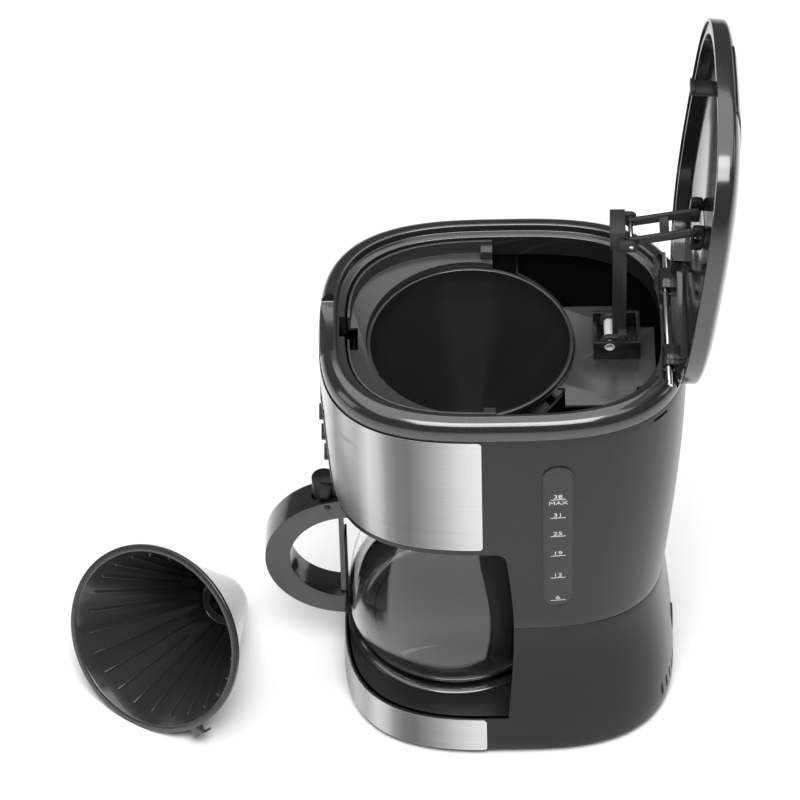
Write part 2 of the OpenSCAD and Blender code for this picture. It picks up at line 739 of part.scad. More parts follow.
module lid_bracket() {
    color([0.05, 0.05, 0.05]) swung() for (s = [-1, 1]) difference() {
        side_prism(lid_pin_shut[0] - 8, lid_pin_shut[0] + 11, lid_z + 0.5, liner_z - gap, 2.5,
            s > 0 ? lug_x : -lug_x - lug_t, s > 0 ? lug_x + lug_t : -lug_x);
        // slot that the link's pins slide in
        side_prism(lid_pin_shut[0] - 2.2, lid_pin_shut[0] + 4.8, lid_pin_shut[1] - 2.3,
            lid_pin_shut[1] + 2.3, 2.2, -20, 20);
    }
}
module lid_pad() {
    color([0.7, 0.7, 0.69]) swung() block(-6.8, 6.8, lid_pin_shut[0] - 4, lid_pin_shut[0] + 8, liner_z -
        1.6, liner_z - gap);
}
// Raised thumb plate on the outside, at the front
module lid_plate() {
    edge = lid_yc - lid_b;
    color([0.5, 0.5, 0.51]) swung() intersection() {
        difference() {
            crown(-1.1, -1.1);
            crown(-0.02, -0.02);
        }
        translate([0, 0, lid_z + lid_band + 0.5]) linear_extrude(big) union() {
            translate([-plate_half_w + 8, edge + 3]) square([2 * plate_half_w - 16, 62]);
            translate([-plate_half_w, edge + 3]) square([2 * plate_half_w, 54]);
            for (s = [-1, 1]) translate([s * (plate_half_w - 8), edge + 57]) circle(8);
        }
    }
}
module lid_catch() {
    y = -rim_d / 2 + rim_band + 3.6;
    color([0.05, 0.05, 0.05]) swung() union() {
        block(-6, 6, y, y + 3, body_h - 15, liner_z - gap);
        block(-6, 6, y - 1.4, y + 1, body_h - 15, body_h - 12);
        block(-12, 12, y, y + 12, liner_z - 2.4, liner_z - gap);
    }
}

// ---- Spray arm and link, drawn standing up ----
arm_y0 = barrel[0] + 2;
arm_y1 = barrel[0] + 11;
head_z = head_pin[1] - 5;
module spray_arm() {
    color([0.16, 0.16, 0.17]) difference() {
        union() {
            block(-6, 6, arm_y0, arm_y1, barrel[1] - 2, head_z - gap);
            block(-11.8, 11.8, arm_y0 + 4, arm_y1, barrel[1] - 6, barrel[1] + 8);
            for (s = [-1, 1]) {
                rod_x(6, s * 10 - 1.8, s * 10 + 1.8, barrel[0], barrel[1]);
                block(s * 10 - 1.8, s * 10 + 1.8, barrel[0], arm_y1, barrel[1] - 6, barrel[1] + 6);
            }
        }
        rod_x(barrel_r + play, -20, 20, barrel[0], barrel[1]);
        rod_x(barrel_r + 1, -8.2, 8.2, barrel[0], barrel[1]);
        translate([0, (arm_y0 + arm_y1) / 2, barrel[1] - 10]) cylinder(h = 200, r = 2.6);
    }
}
module spray_head() {
    y0 = arm_y0 - 2;
    y1 = arm_y1 - 1;
    color([0.18, 0.18, 0.19]) difference() {
        union() {
            block(-head_w / 2, head_w / 2, y0, y1, head_z, head_z + 15);
            for (s = [-1, 1]) {
                rod_x(4.2, s * 13.2 - 1.6, s * 13.2 + 1.6, head_pin[0], head_pin[1]);
                block(s * 13.2 - 1.6, s * 13.2 + 1.6, y1 - 4, head_pin[0], head_pin[1] - 4.2,
                    head_pin[1] + 4.2);
                block(s * 12.5 - 2.3, s * 12.5 + 2.3, y1 - 4, y1 - 1, head_pin[1] - 4.2, head_pin[1] + 4.2);
            }
        }
        rod_x(pin_r, -20, 20, head_pin[0], head_pin[1]);
        translate([0, (arm_y0 + arm_y1) / 2, head_z - 5]) cylinder(h = 14, r = 2.6);
        for (x = [-8, -4, 0, 4, 8], z = [3, 7.5, 12]) translate([x, y0 - 1, head_z + z]) rotate([-90, 0,
            0]) cylinder(h = 4, r = 0.8);
    }
}
module link_pin() {
    color([0.7, 0.7, 0.7]) rod_x(pin_r, -14.8, 14.8, head_pin[0], head_pin[1]);
}
link_x0 = 7.6;
link_x1 = 10.2;
module link_frame() {
    dy = lid_pin[0] - head_pin[0];
    dz = lid_pin[1] - head_pin[1];
    len_yz = sqrt(dy * dy + dz * dz);
    color([0.3, 0.3, 0.31]) translate([0, head_pin[0], head_pin[1]]) rotate([atan2(dz, dy), 0, 0])
        difference() {
        union() {
            for (s = [-1, 1]) {
                m = s * (link_x0 + link_x1) / 2;
                h = (link_x1 - link_x0) / 2;
                block(m - h, m + h, 0, len_yz, -3, 3);
                rod_x(3.4, m - h, m + h, 0, 0);
                rod_x(3, m - h, m + h, len_yz, 0);
                rod_x(pin_r, s > 0 ? link_x1 - 1 : -14.6, s > 0 ? 14.6 : -link_x1 + 1, len_yz, 0);
            }
            block(-link_x0 - 1, link_x0 + 1, len_yz * 0.44, len_yz * 0.44 + 6, -1.6, 1.6);
        }
        rod_x(pin_r + play, -20, 20, 0, 0);
    }
}

// ---- Jug ----
module jug_glass() {
    corner = 12;
    belly_z = corner + 8;
    foot = min(foot_r, jug_r - corner - 1);
    function wall_pts(d) = concat(
        [for (k = [0 : 6])
            [jug_r - corner + (corner - d) * sin(15 * k), corner - (corner - d) * cos(15 * k)]],
        [for (k = [1 : 12]) let (t = k / 12)
            [blend(jug_r - d, neck_r - d, (1 - cos(180 * pow(t, 1.25))) / 2), blend(belly_z, jug_h, t)]]);
    outer = wall_pts(0);
    inner = wall_pts(glass_t);
    color([0.75, 0.78, 0.8, 0.35]) translate([0, jug_y, glass_z]) rotate_extrude($fn = 96) polygon(concat(
        [[0, 0.8], [foot - 4, 0.8], [foot - 3, 0]], outer,
        [for (k = [len(inner) - 1 : -1 : 0]) inner[k]], [[0, glass_t + 0.8]]));
}
module jug_band() {
    color([0.7, 0.7, 0.71]) translate([0, jug_y, collar_z - 9]) difference() {
        cylinder(h = 6, r = neck_r + 3.2, $fn = 96);
        translate([0, 0, -1]) cylinder(h = 8, r = neck_r + 1.4, $fn = 96);
    }
}
module jug_collar() {
    color([0.06, 0.06, 0.065]) translate([0, jug_y, 0]) difference() {
        union() {
            rotate_extrude($fn = 96) polygon([
                [neck_r + 0.4, collar_z - 2.6], [neck_r + 4, collar_z - 2.6], [neck_r + 5, collar_z + 1],
                [neck_r + 5, collar_z + 5], [neck_r + 2.5, collar_z + 5], [neck_r + 2.5, collar_z + 2.6],
                [neck_r - 3, collar_z + 2.6], [neck_r - 3, collar_z + 0.2], [neck_r + 0.4, collar_z +
                    0.2]]);
            // pouring lip, away from the handle
            translate([-9, neck_r + 2, collar_z + 1]) cube([18, 9, 5]);
        }
        translate([-6.5, neck_r - 8, collar_z + 2.6]) cube([13, 17, 10]);
    }
}
handle_y = jug_y - handle_reach;                    // outermost point of the handle
handle_z0 = glass_z + 10;
handle_z1 = collar_z - 2;
lever_at = [handle_y + 44.5, collar_z - 8];          // pivot of the jug lid
knob_r = 8.5;
module jug_handle() {
    root = jug_y - jug_r - 2;
    r = (handle_z1 - handle_z0) / 2;
    cy = handle_y + r;
    cz = (handle_z0 + handle_z1) / 2;
    top_root = jug_y - neck_r - 5.2;
    color([0.08, 0.08, 0.085]) difference() {
        union() {
            translate([-handle_w / 2, 0, 0]) rotate([90, 0, 90]) linear_extrude(handle_w) difference() {
                union() {
                    translate([cy, cz]) circle(r = r, $fn = 128);
                    translate([cy, cz]) square([top_root - cy, r]);
                    translate([cy, cz - r]) square([root - cy, r]);
                }
                translate([cy, cz]) circle(r = r - handle_t, $fn = 128);
                translate([cy, cz - r + handle_t]) square([100, 2 * r - 2 * handle_t]);
                translate([root, cz - r - 1]) square([60, r + 10]);
            }
            // post that stands along the glass
            block(-handle_w / 2 + 3, handle_w / 2 - 3, root - 3.5, root, handle_z0 + 4, handle_z1 - 4);
        }
        // pocket for the thumb lever, its pin and the screw
        block(-6.6, 6.6, lever_at[0] - 5, 0, lever_at[1] - 7, big);
        translate([0, lever_at[0] - 2, lever_at[1] - 5]) cylinder(h = big, r = knob_r + 0.6);
        rod_x(2 + play, -20, 20, lever_at[0], lever_at[1]);
        translate([0, jug_y, 0]) cylinder(h = big, r = neck_r + 5.1, $fn = 96);
        translate([0, root + 1, handle_z0 + 8.5]) rotate([90, 0, 0]) cylinder(h = 12, r = 1.8);
    }
}
module handle_strap() {
    root = jug_y - jug_r - 0.4;
    color([0.05, 0.05, 0.05]) difference() {
        block(-6, 6, root - 1.5, root, glass_z + 3, collar_z - 44);
        translate([0, root + 5, handle_z0 + 8.5]) rotate([90, 0, 0]) cylinder(h = 12, r = 1.8);
    }
}
module handle_screw() {
    root = jug_y - jug_r - 0.4;
    color([0.6, 0.6, 0.6]) translate([0, root + 0.2, handle_z0 + 8.5]) rotate([90, 0, 0])
        cylinder(h = 9, r = 1.75);
}
module lever_pin() {
    color([0.7, 0.7, 0.7]) rod_x(2, -handle_w / 2 - 0.6, handle_w / 2 + 0.6, lever_at[0], lever_at[1]);
}
module jug_lid() {
    z = collar_z + 3.2;
    color([0.06, 0.06, 0.065]) difference() {
        union() {
            translate([0, jug_y, z]) cylinder(h = 6.5, r = neck_r + 0.8, $fn = 96);
            translate([0, jug_y, z]) cylinder(h = 8, r = 26, $fn = 64);
        }
        translate([0, jug_y, z + 4]) cylinder(h = 10, r = 22);
        translate([0, jug_y, z - 1]) cylinder(h = 20, r = 5);
    }
}
module thumb_lever() {
    z = collar_z + 3.2;
    color([0.05, 0.05, 0.05]) difference() {
        union() {
            block(-6, 6, lever_at[0], jug_y - neck_r + 6, z + 6.6, z + 9);
            block(-6, 6, lever_at[0] - 4, lever_at[0] + 8, lever_at[1], z + 9);
            rod_x(5, -6, 6, lever_at[0], lever_at[1]);
            translate([0, lever_at[0] - 2, lever_at[1] + 5]) cylinder(h = 14, r = knob_r);
        }
        rod_x(2 + play, -20, 20, lever_at[0], lever_at[1]);
    }
}

// ---- Filter basket, lying on the table in front ----
lying = [43, -245];
lying_turn = 57;
flange_w = 3;
tilt = atan((basket_r + flange_w - basket_end_r) / basket_h);
flange_t = 3;
rib_t = 1.4;
rib_h = 1.8;
module lain() {
    // rests on its rim edge and its small end
    lift = (basket_r + flange_w) * cos(tilt);
    translate([lying[0], lying[1], 0]) rotate([0, 0, lying_turn]) translate([0, 0, lift])
        rotate([90 - tilt, 0, 0]) translate([0, 0, -basket_h]) children();
}
module filter_basket() {
    r0 = basket_end_r;
    r1 = basket_r;
    t = basket_wall;
    color([0.2, 0.2, 0.21]) lain() union() {
        rotate_extrude($fn = 96) polygon([
            [6, 0], [r0, 0], [r1, basket_h - flange_t], [r1 + flange_w, basket_h - flange_t],
            [r1 + flange_w, basket_h], [r1 - t, basket_h], [r0 - t, t], [6, t]]);
        for (k = [0 : rib_count - 1]) rotate([0, 0, 360 * (k + 0.5) / rib_count]) basket_rib();
        // tab that keys into the holder
        rotate([0, 0, 30]) block(-5, 5, -r1 - 9, -r1 + 0.5, basket_h - 2, basket_h - 0.4);
        rotate([0, 0, 30]) block(-5, 5, -r1 - 9, -r1 - 7.4, basket_h - 9, basket_h - 1);
    }
}
// Inner radius of the basket at a height above its small end
function basket_in(z) = basket_end_r - basket_wall
    + (z - basket_wall) * (basket_r - basket_end_r) / (basket_h - basket_wall);
module basket_rib() {
    z0 = basket_wall + 3;
    z1 = basket_h - 7;
    sink = basket_wall / 2;
    rotate([90, 0, 0]) translate([0, 0, -rib_t / 2]) linear_extrude(rib_t) polygon([
        [basket_in(z0) - rib_h, z0], [basket_in(z0) + sink, z0],
        [basket_in(z1) + sink, z1], [basket_in(z1) - rib_h, z1]]);
}
module basket_valve() {
    color([0.15, 0.15, 0.16]) lain() rotate_extrude() polygon([
        [0, 1.5], [5.6, 1.5], [5.6, basket_wall + 0.1], [10, basket_wall + 0.1], [10, basket_wall + 2.6],
        [4, basket_wall + 3.6], [2.5, basket_wall + 12], [0, basket_wall + 12]]);
}

lower_housing();
upper_housing();
niche_liner();
chamber_floor();
top_rim();
upper_steel_panel();
base_steel_band();
control_panel();
display_window();
gauge_window();
water_tank();
brew_deck();
brew_funnel();
funnel_bridge();
arm_cradle();
pivot_barrel();
riser_pipe();
lid_hinge_rod();
base_plate();
rubber_feet();
base_screws();
hot_plate();
hot_plate_ring();
heater_tube();
thermostat();
thermal_fuse();
check_valve();
inlet_hose();
riser_hose();
hose_clamps();
control_board();
cord_gland();
lid_shell();
lid_liner();
lid_plate();
lid_bracket();
lid_pad();
lid_catch();
spray_arm();
spray_head();
link_pin();
link_frame();
jug_glass();
jug_collar();
jug_band();
jug_handle();
handle_strap();
handle_screw();
lever_pin();
jug_lid();
thumb_lever();
filter_basket();
basket_valve();
button(0);  // button_1
button(1);  // button_2
button(2);  // button_3
button(3);  // button_4
button(4);  // button_5
button(5);  // button_6
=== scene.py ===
import json
import math
import bpy
import bmesh
from mathutils import Matrix, Vector

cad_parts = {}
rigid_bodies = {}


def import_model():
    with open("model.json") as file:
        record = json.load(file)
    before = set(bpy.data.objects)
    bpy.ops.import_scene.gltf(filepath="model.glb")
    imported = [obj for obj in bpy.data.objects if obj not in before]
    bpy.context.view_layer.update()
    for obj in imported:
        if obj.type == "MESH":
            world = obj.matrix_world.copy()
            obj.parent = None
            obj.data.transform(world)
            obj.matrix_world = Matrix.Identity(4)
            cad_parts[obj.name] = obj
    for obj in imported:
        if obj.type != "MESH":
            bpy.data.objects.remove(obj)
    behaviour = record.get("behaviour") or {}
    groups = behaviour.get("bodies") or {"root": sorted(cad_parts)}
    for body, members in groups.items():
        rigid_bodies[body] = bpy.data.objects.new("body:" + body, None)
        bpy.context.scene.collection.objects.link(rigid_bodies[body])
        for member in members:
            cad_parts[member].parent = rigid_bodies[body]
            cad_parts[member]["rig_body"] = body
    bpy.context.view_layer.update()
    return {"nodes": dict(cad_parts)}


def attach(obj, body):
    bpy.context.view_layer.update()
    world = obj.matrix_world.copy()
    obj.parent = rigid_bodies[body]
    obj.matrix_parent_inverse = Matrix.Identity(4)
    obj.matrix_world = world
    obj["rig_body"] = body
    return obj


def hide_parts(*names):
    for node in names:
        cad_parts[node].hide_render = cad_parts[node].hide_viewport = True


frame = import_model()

mm = 0.001
scene = bpy.context.scene

# camera
camera = {"centre": (2.657, -0.0213, 3.1308), "forward": (-0.67841, -0.0124, -0.73457),
          "roll": -1.74, "lens": 261.83}


def makeCamera():
    look = Vector(camera["forward"]).normalized()
    side = look.cross(Vector((0, 0, 1))).normalized()
    top = side.cross(look)
    turn = math.radians(camera["roll"])
    right = side * math.cos(turn) + top * math.sin(turn)
    up = top * math.cos(turn) - side * math.sin(turn)
    data = bpy.data.cameras.new("camera")
    data.lens = camera["lens"]
    data.sensor_width = 36
    data.clip_end = 50
    eye = bpy.data.objects.new("camera", data)
    grid = Matrix((right, up, -look)).transposed().to_4x4()
    eye.matrix_world = Matrix.Translation(camera["centre"]) @ grid
    scene.collection.objects.link(eye)
    scene.camera = eye


makeCamera()
print("camera ready")


# shader helpers
class Val:  # a number socket that adds its own maths nodes
    def __init__(self, look, socket):
        self.look, self.socket = look, socket

    def maths(self, kind, *others):
        node = self.look.node("ShaderNodeMath", {"operation": kind}, dict(enumerate(others)))
        return Val(self.look, node.outputs[0])

    def __add__(self, other): return self.maths("ADD", self, other)
    def __radd__(self, other): return self.maths("ADD", other, self)
    def __sub__(self, other): return self.maths("SUBTRACT", self, other)
    def __rsub__(self, other): return self.maths("SUBTRACT", other, self)
    def __mul__(self, other): return self.maths("MULTIPLY", self, other)
    def __truediv__(self, other): return self.maths("DIVIDE", self, other)
    def least(self, other): return self.maths("MINIMUM", self, other)

    def ease(self, low, high):
        node = self.look.node("ShaderNodeMapRange", {"interpolation_type": "SMOOTHSTEP"},
                              {"Value": self, "From Min": low, "From Max": high})
        return Val(self.look, node.outputs[0])


class Look:  # one material and the nodes that it is made of
    def __init__(self, name, **fixed):
        self.material = bpy.data.materials.new(name)
        self.material.use_nodes = True
        self.tree = self.material.node_tree
        self.tree.nodes.clear()
        self.shader = self.node("ShaderNodeBsdfPrincipled")
        out = self.node("ShaderNodeOutputMaterial")
        self.tree.links.new(self.shader.outputs[0], out.inputs["Surface"])
        self.set(**fixed)

    def node(self, kind, settings=None, sockets=None):
        made = self.tree.nodes.new(kind)
        for key, value in (settings or {}).items():
            if key == "stops":
                ramp = made.color_ramp
                while len(ramp.elements) < len(value):
                    ramp.elements.new(0.5)
                for element, (place, shade) in zip(ramp.elements, value):
                    element.position, element.color = place, shade
            else:
                setattr(made, key, value)
        for key, value in (sockets or {}).items():
            self.plug(made.inputs[key], value)
        return made

    def plug(self, socket, value):
        if isinstance(value, Val):
            value = value.socket
        if isinstance(value, bpy.types.NodeSocket):
            self.tree.links.new(value, socket)
        else:
            socket.default_value = value

    def set(self, **values):
        for key, value in values.items():
            self.plug(self.shader.inputs[spaced[key]], value)

    def place(self):  # Object coordinates, in metres
        return self.node("ShaderNodeTexCoord").outputs["Object"]

    def parts(self):
        split = self.node("ShaderNodeSeparateXYZ", {}, {0: self.place()})
        return [Val(self, s) for s in split.outputs]

    def mapped(self, scale):
        return self.node("ShaderNodeMapping", {}, {"Vector": self.place(), "Scale": scale}).outputs[0]

    def noise(self, scale, detail=2.0, rough=0.5, vector=None):
        node = self.node("ShaderNodeTexNoise", {}, {"Vector": vector or self.place(), "Scale": scale,
                                                    "Detail": detail, "Roughness": rough})
        return Val(self, node.outputs[0])

    def cells(self, scale):
        node = self.node("ShaderNodeTexVoronoi", {}, {"Vector": self.place(), "Scale": scale})
        return Val(self, node.outputs[0])

    def blend(self, mask, low, high):
        node = self.node("ShaderNodeMix", {"data_type": "RGBA"}, {"Factor": mask, 6: low, 7: high})
        return node.outputs[2]

    def bump(self, height, strength=0.2, distance=0.0002):
        node = self.node("ShaderNodeBump", {},
                         {"Strength": strength, "Distance": distance, "Height": height})
        self.plug(self.shader.inputs["Normal"], node.outputs[0])

    def worn(self, amount=1.0, radius=0.0006):  # lighter along edges, from a bevelled normal
        round_ = self.node("ShaderNodeBevel", {"samples": 4}, {"Radius": radius})
        flat = self.node("ShaderNodeNewGeometry")
        dot = self.node("ShaderNodeVectorMath", {"operation": "DOT_PRODUCT"},
                        {0: round_.outputs[0], 1: flat.outputs["Normal"]})
        return (1 - Val(self, dot.outputs["Value"])) * amount


spaced = {"colour": "Base Color", "rough": "Roughness", "metal": "Metallic", "coat": "Coat Weight",
          "coatRough": "Coat Roughness", "ior": "IOR", "clear": "Transmission Weight",
          "twist": "Anisotropic", "specular": "Specular IOR Level"}


def grey(v, warm=0.0):
    return (v + warm, v, v - warm, 1)


# materials
plastic = {  # shade, roughness, grain size, grain depth, clear gloss
    "housingPlastic": dict(shade=0.012, rough=0.24, grain=900, depth=0.03, coat=0.0, shine=0.26),
    "rimPlastic": dict(shade=0.014, rough=0.15, grain=500, depth=0.015, coat=0.3, shine=0.7),
    "satinBlack": dict(shade=0.006, rough=0.34, grain=1300, depth=0.06, coat=0.0),
    "satinGrey": dict(shade=0.022, rough=0.36, grain=1300, depth=0.06, coat=0.0),
    "deckPlastic": dict(shade=0.026, rough=0.26, grain=1100, depth=0.04, coat=0.0, shine=0.5),
    "funnelPlastic": dict(shade=0.010, rough=0.20, grain=700, depth=0.02, coat=0.3, shine=0.6),
    "basketPlastic": dict(shade=0.022, rough=0.18, grain=800, depth=0.03, coat=0.5, shine=0.7),
    "handlePlastic": dict(shade=0.014, rough=0.16, grain=600, depth=0.02, coat=0.4, shine=0.5),
    "fasciaGloss": dict(shade=0.004, rough=0.06, grain=300, depth=0.01, coat=0.6),
    "keyPlastic": dict(shade=0.028, rough=0.32, grain=1300, depth=0.05, coat=0.0),
    "paleGrey": dict(shade=0.42, rough=0.34, grain=1100, depth=0.05, coat=0.0),
    "linerPlastic": dict(shade=0.010, rough=0.13, grain=500, depth=0.015, coat=0.3),
    "tankPlastic": dict(shade=0.004, rough=0.34, grain=900, depth=0.03, coat=0.0),
}


def makePlastic(name, shade, rough, grain, depth, coat, shine=0.25):
    look = Look(name, coat=coat, coatRough=0.06, ior=1.5, specular=shine)
    flow = look.noise(11, 3, 0.55)
    dust = look.noise(260, 4, 0.6)
    fine = look.noise(grain, 2, 0.5)
    edge = look.worn(1.6).least(1)
    tone = (flow * 0.7 + dust * 0.3).ease(0.3, 0.7)
    base = look.blend(tone, grey(shade * 0.88), grey(shade * 1.12, shade * 0.01))
    look.set(colour=look.blend(edge * 0.5, base, grey(min(1, shade * 2.4 + 0.01))),
             rough=(rough * 0.86 + dust * (rough * 0.28) + edge * 0.08).least(0.9))
    look.bump(fine + dust * 0.4, depth)
    return look


# painted reflection: darker and lighter bands round the bend of the steel, from its rear edge towards the
# front, in mm
paintedSteelReflection = {"from": 14, "run": 108,
             "reflectionShades": [(0.0, 1.0), (0.10, 0.92), (0.19, 0.74), (0.29, 0.50), (0.38, 0.33), (0.47, 0.205),
                       (0.54, 0.225), (0.60, 0.36), (0.65, 0.70), (0.71, 0.88), (0.78, 0.58), (0.85, 0.74),
                       (0.91, 0.30), (0.97, 1.0)]}


def makeSteel(name, dark, light):  # brushed round the body, level with the table
    look = Look(name, metal=1.0, twist=0.72, ior=2.5)
    front = look.parts()[1] * -1000
    brush = look.noise(1, 3, 0.7, look.mapped((9, 9, 3600)))
    broad = look.noise(1, 2, 0.6, look.mapped((3, 3, 700)))
    grain = (brush * 0.7 + broad * 0.3).ease(0.25, 0.75)
    # painted reflection: this ramp multiplies the brushed colour by bands that stand in for the reflected floor
    # and lamps
    ramp = look.node("ShaderNodeValToRGB", {"stops": [(p, grey(t)) for p, t in paintedSteelReflection["reflectionShades"]]},
                     {0: (front - paintedSteelReflection["from"]) / paintedSteelReflection["run"]})
    edge = look.worn(2.0, 0.0008).least(1)
    fine = look.blend(grain, grey(dark), grey(light))
    base = look.node("ShaderNodeMix", {"data_type": "RGBA", "blend_type": "MULTIPLY"},
                     {"Factor": 1.0, 6: fine, 7: ramp.outputs[0]}).outputs[2]
    look.set(colour=look.blend(edge * 0.6, base, grey(0.9)), rough=0.27 + grain * 0.1)
    look.bump(brush, 0.04, 0.00006)
    return look


def makeChrome():
    look = Look("polishedSteel", metal=1.0, ior=2.5)
    smear = look.noise(60, 3, 0.6)
    fine = look.noise(1, 2, 0.6, look.mapped((90, 2400, 2400)))
    look.set(colour=look.blend(smear, grey(0.62), grey(0.78)), rough=0.12 + fine * 0.16)
    look.bump(fine, 0.06, 0.0001)
    return look


def makeGlass():
    look = Look("jugGlass", clear=1.0, ior=1.45, specular=0.3)
    haze = look.noise(34, 3, 0.55)
    drops = look.noise(420, 2, 0.5)
    look.set(colour=look.blend(haze, grey(0.93), grey(0.97)),
             rough=haze * drops * 0.004)
    return look


def makeWindow():
    look = Look("gaugeGlass", clear=0.35, ior=1.49, specular=0.2)
    haze = look.noise(90, 3, 0.6)
    look.set(colour=look.blend(haze, grey(0.030), grey(0.045)), rough=0.2 + haze * 0.12)
    look.bump(look.noise(900, 2), 0.02)
    return look


def makePlateCoat():
    look = Look("plateCoating", ior=1.5, coat=0.3, coatRough=0.15)
    specks = look.cells(900).ease(0.5, 0.2)
    rings = look.noise(1, 3, 0.6, look.mapped((60, 60, 60)))
    look.set(colour=look.blend(specks * 0.5, grey(0.017), grey(0.05)), rough=0.3 + rings * 0.22)
    look.bump(look.noise(1500, 2) + specks * 0.3, 0.12)
    return look


def makeRubber(name, shade):
    look = Look(name, ior=1.45)
    dust = look.noise(500, 4, 0.65)
    look.set(colour=look.blend(dust.ease(0.35, 0.75), grey(shade), grey(shade * 1.5 + 0.004)),
             rough=0.62 + dust * 0.25)
    look.bump(look.noise(1600, 3), 0.2)
    return look


def makeSilicone():
    look = Look("siliconeHose", clear=0.25, ior=1.41)
    haze = look.noise(140, 3, 0.6)
    look.set(colour=look.blend(haze, grey(0.62, 0.01), grey(0.74, 0.01)), rough=0.34 + haze * 0.16)
    look.bump(look.noise(900, 2), 0.08)
    return look


def makeAluminium():
    look = Look("castAluminium", metal=1.0, ior=1.8)
    pits = look.cells(700)
    look.set(colour=look.blend(look.noise(90, 3), grey(0.5), grey(0.66)), rough=0.38 + pits * 0.2)
    look.bump(pits + look.noise(300, 3), 0.25)
    return look


def makeBoard():
    look = Look("circuitBoard", ior=1.5, coat=0.4)
    tracks = look.cells(260).ease(0.25, 0.35)
    look.set(colour=look.blend(tracks, (0.02, 0.13, 0.06, 1), (0.012, 0.08, 0.04, 1)),
             rough=0.3 + tracks * 0.2)
    look.bump(tracks, 0.1)
    return look


def makePrint():
    look = Look("gaugePrint", ior=1.45)
    ink = look.noise(2400, 2, 0.6)
    look.set(colour=look.blend(ink.ease(0.3, 0.7), grey(0.62), grey(0.74)), rough=0.45 + ink * 0.2)
    look.bump(ink, 0.05, 0.00005)
    return look


def makeFloor():
    look = Look("studioFloor", ior=1.45, specular=0.3)
    sweep = look.noise(1.2, 2, 0.5)
    look.set(colour=look.blend(sweep, grey(0.90), grey(0.93)), rough=0.55 + sweep * 0.1)
    look.bump(look.noise(420, 3), 0.02)
    return look


looks = {name: makePlastic(name, **values) for name, values in plastic.items()}
looks["brushedPanel"] = makeSteel("brushedPanel", 0.50, 0.62)
looks["brushedBand"] = makeSteel("brushedBand", 0.55, 0.69)
looks["polishedSteel"] = makeChrome()
looks["jugGlass"] = makeGlass()
looks["gaugeGlass"] = makeWindow()
looks["plateCoating"] = makePlateCoat()
looks["footRubber"] = makeRubber("footRubber", 0.014)
looks["sealRubber"] = makeRubber("sealRubber", 0.02)
looks["siliconeHose"] = makeSilicone()
looks["castAluminium"] = makeAluminium()
looks["circuitBoard"] = makeBoard()
looks["gaugePrint"] = makePrint()
looks["studioFloor"] = makeFloor()
print("materials ready:", len(looks))


# mesh helpers
def wire(points, rounding=None, closed=True):
    # a line of points as (distance inwards, height), with some corners rounded
    bm = bmesh.new()
    verts = [bm.verts.new((p[0], 0, p[1])) for p in points]
    pairs = list(zip(verts, verts[1:])) + ([(verts[-1], verts[0])] if closed else [])
    for pair in pairs:
        bm.edges.new(pair)
    for index, radius in (rounding or {}).items():
        bmesh.ops.bevel(bm, geom=[verts[index]], offset=radius, offset_type="OFFSET", segments=5,
                        profile=0.5, affect="VERTICES", material=-1, clamp_overlap=True)
    return bm


def cutLong(bm, step):
    # splits long edges, so that they can follow a curve
    for edge in list(bm.edges):
        cuts = int(edge.calc_length() / step)
        if cuts:
            bmesh.ops.subdivide_edges(bm, edges=[edge], cuts=cuts)


def spinFull(bm, steps):
    bmesh.ops.spin(bm, geom=list(bm.verts) + list(bm.edges), cent=(0, 0, 0), axis=(0, 0, 1),
                   angle=2 * math.pi, steps=steps, use_merge=True)
    bmesh.ops.remove_doubles(bm, verts=bm.verts, dist=0.0005)
    bmesh.ops.recalc_face_normals(bm, faces=bm.faces)
    return bm


def power(v, p):
    return math.copysign(abs(v) ** p, v)


hub = 1000.0  # working radius of an oval before it takes its shape


def ovalSpin(points, sizes, rounding=None, closed=True, step=9, steps=208, square=3.0):
    # sizes(z) gives half width, half depth and centre; a point's first number is how far inside it lies
    bm = wire([(hub - p[0], p[1]) for p in points], rounding, closed)
    cutLong(bm, step)
    spinFull(bm, steps)
    for v in bm.verts:
        turn = math.atan2(v.co.y, v.co.x)
        inside = hub - math.hypot(v.co.x, v.co.y)
        wide, deep, middle = sizes(v.co.z)
        v.co.x = (wide - inside) * power(math.cos(turn), 2 / square)
        v.co.y = middle + (deep - inside) * power(math.sin(turn), 2 / square)
    return bm


def prism(outline, low, high, axis="x"):
    # outline of two numbers, pushed from low to high along the third direction
    bm = bmesh.new()
    order = {"x": lambda p, q: (q, p[0], p[1]), "y": lambda p, q: (p[0], q, p[1]),
             "z": lambda p, q: (p[0], p[1], q)}[axis]
    face = bm.faces.new([bm.verts.new(order(p, low)) for p in outline])
    grown = bmesh.ops.extrude_face_region(bm, geom=[face])["geom"]
    move = Vector(order((0, 0), high - low))
    bmesh.ops.translate(bm, verts=[g for g in grown if isinstance(g, bmesh.types.BMVert)], vec=move)
    bmesh.ops.recalc_face_normals(bm, faces=bm.faces)
    return bm


def roundedBox(x0, x1, y0, y1, z0, z1, radius=0.0, axis="x", segments=6):
    bm = bmesh.new()
    bmesh.ops.create_cube(bm, size=1)
    bmesh.ops.scale(bm, vec=(x1 - x0, y1 - y0, z1 - z0), verts=bm.verts)
    bmesh.ops.translate(bm, vec=((x0 + x1) / 2, (y0 + y1) / 2, (z0 + z1) / 2), verts=bm.verts)
    if radius:
        lane = "xyz".index(axis)
        edges = [e for e in bm.edges if abs((e.verts[0].co - e.verts[1].co).normalized()[lane]) > 0.9]
        bmesh.ops.bevel(bm, geom=edges, offset=radius, segments=segments, profile=0.5,
                        affect="EDGES", material=-1, clamp_overlap=True)
    return bm


def cylinder(radius, length, steps):
    bm = wire([(0, -length / 2), (radius, -length / 2), (radius, length / 2), (0, length / 2)])
    return spinFull(bm, steps)


alongX = Matrix.Rotation(math.pi / 2, 4, "Y")
alongY = Matrix.Rotation(math.pi / 2, 4, "X")


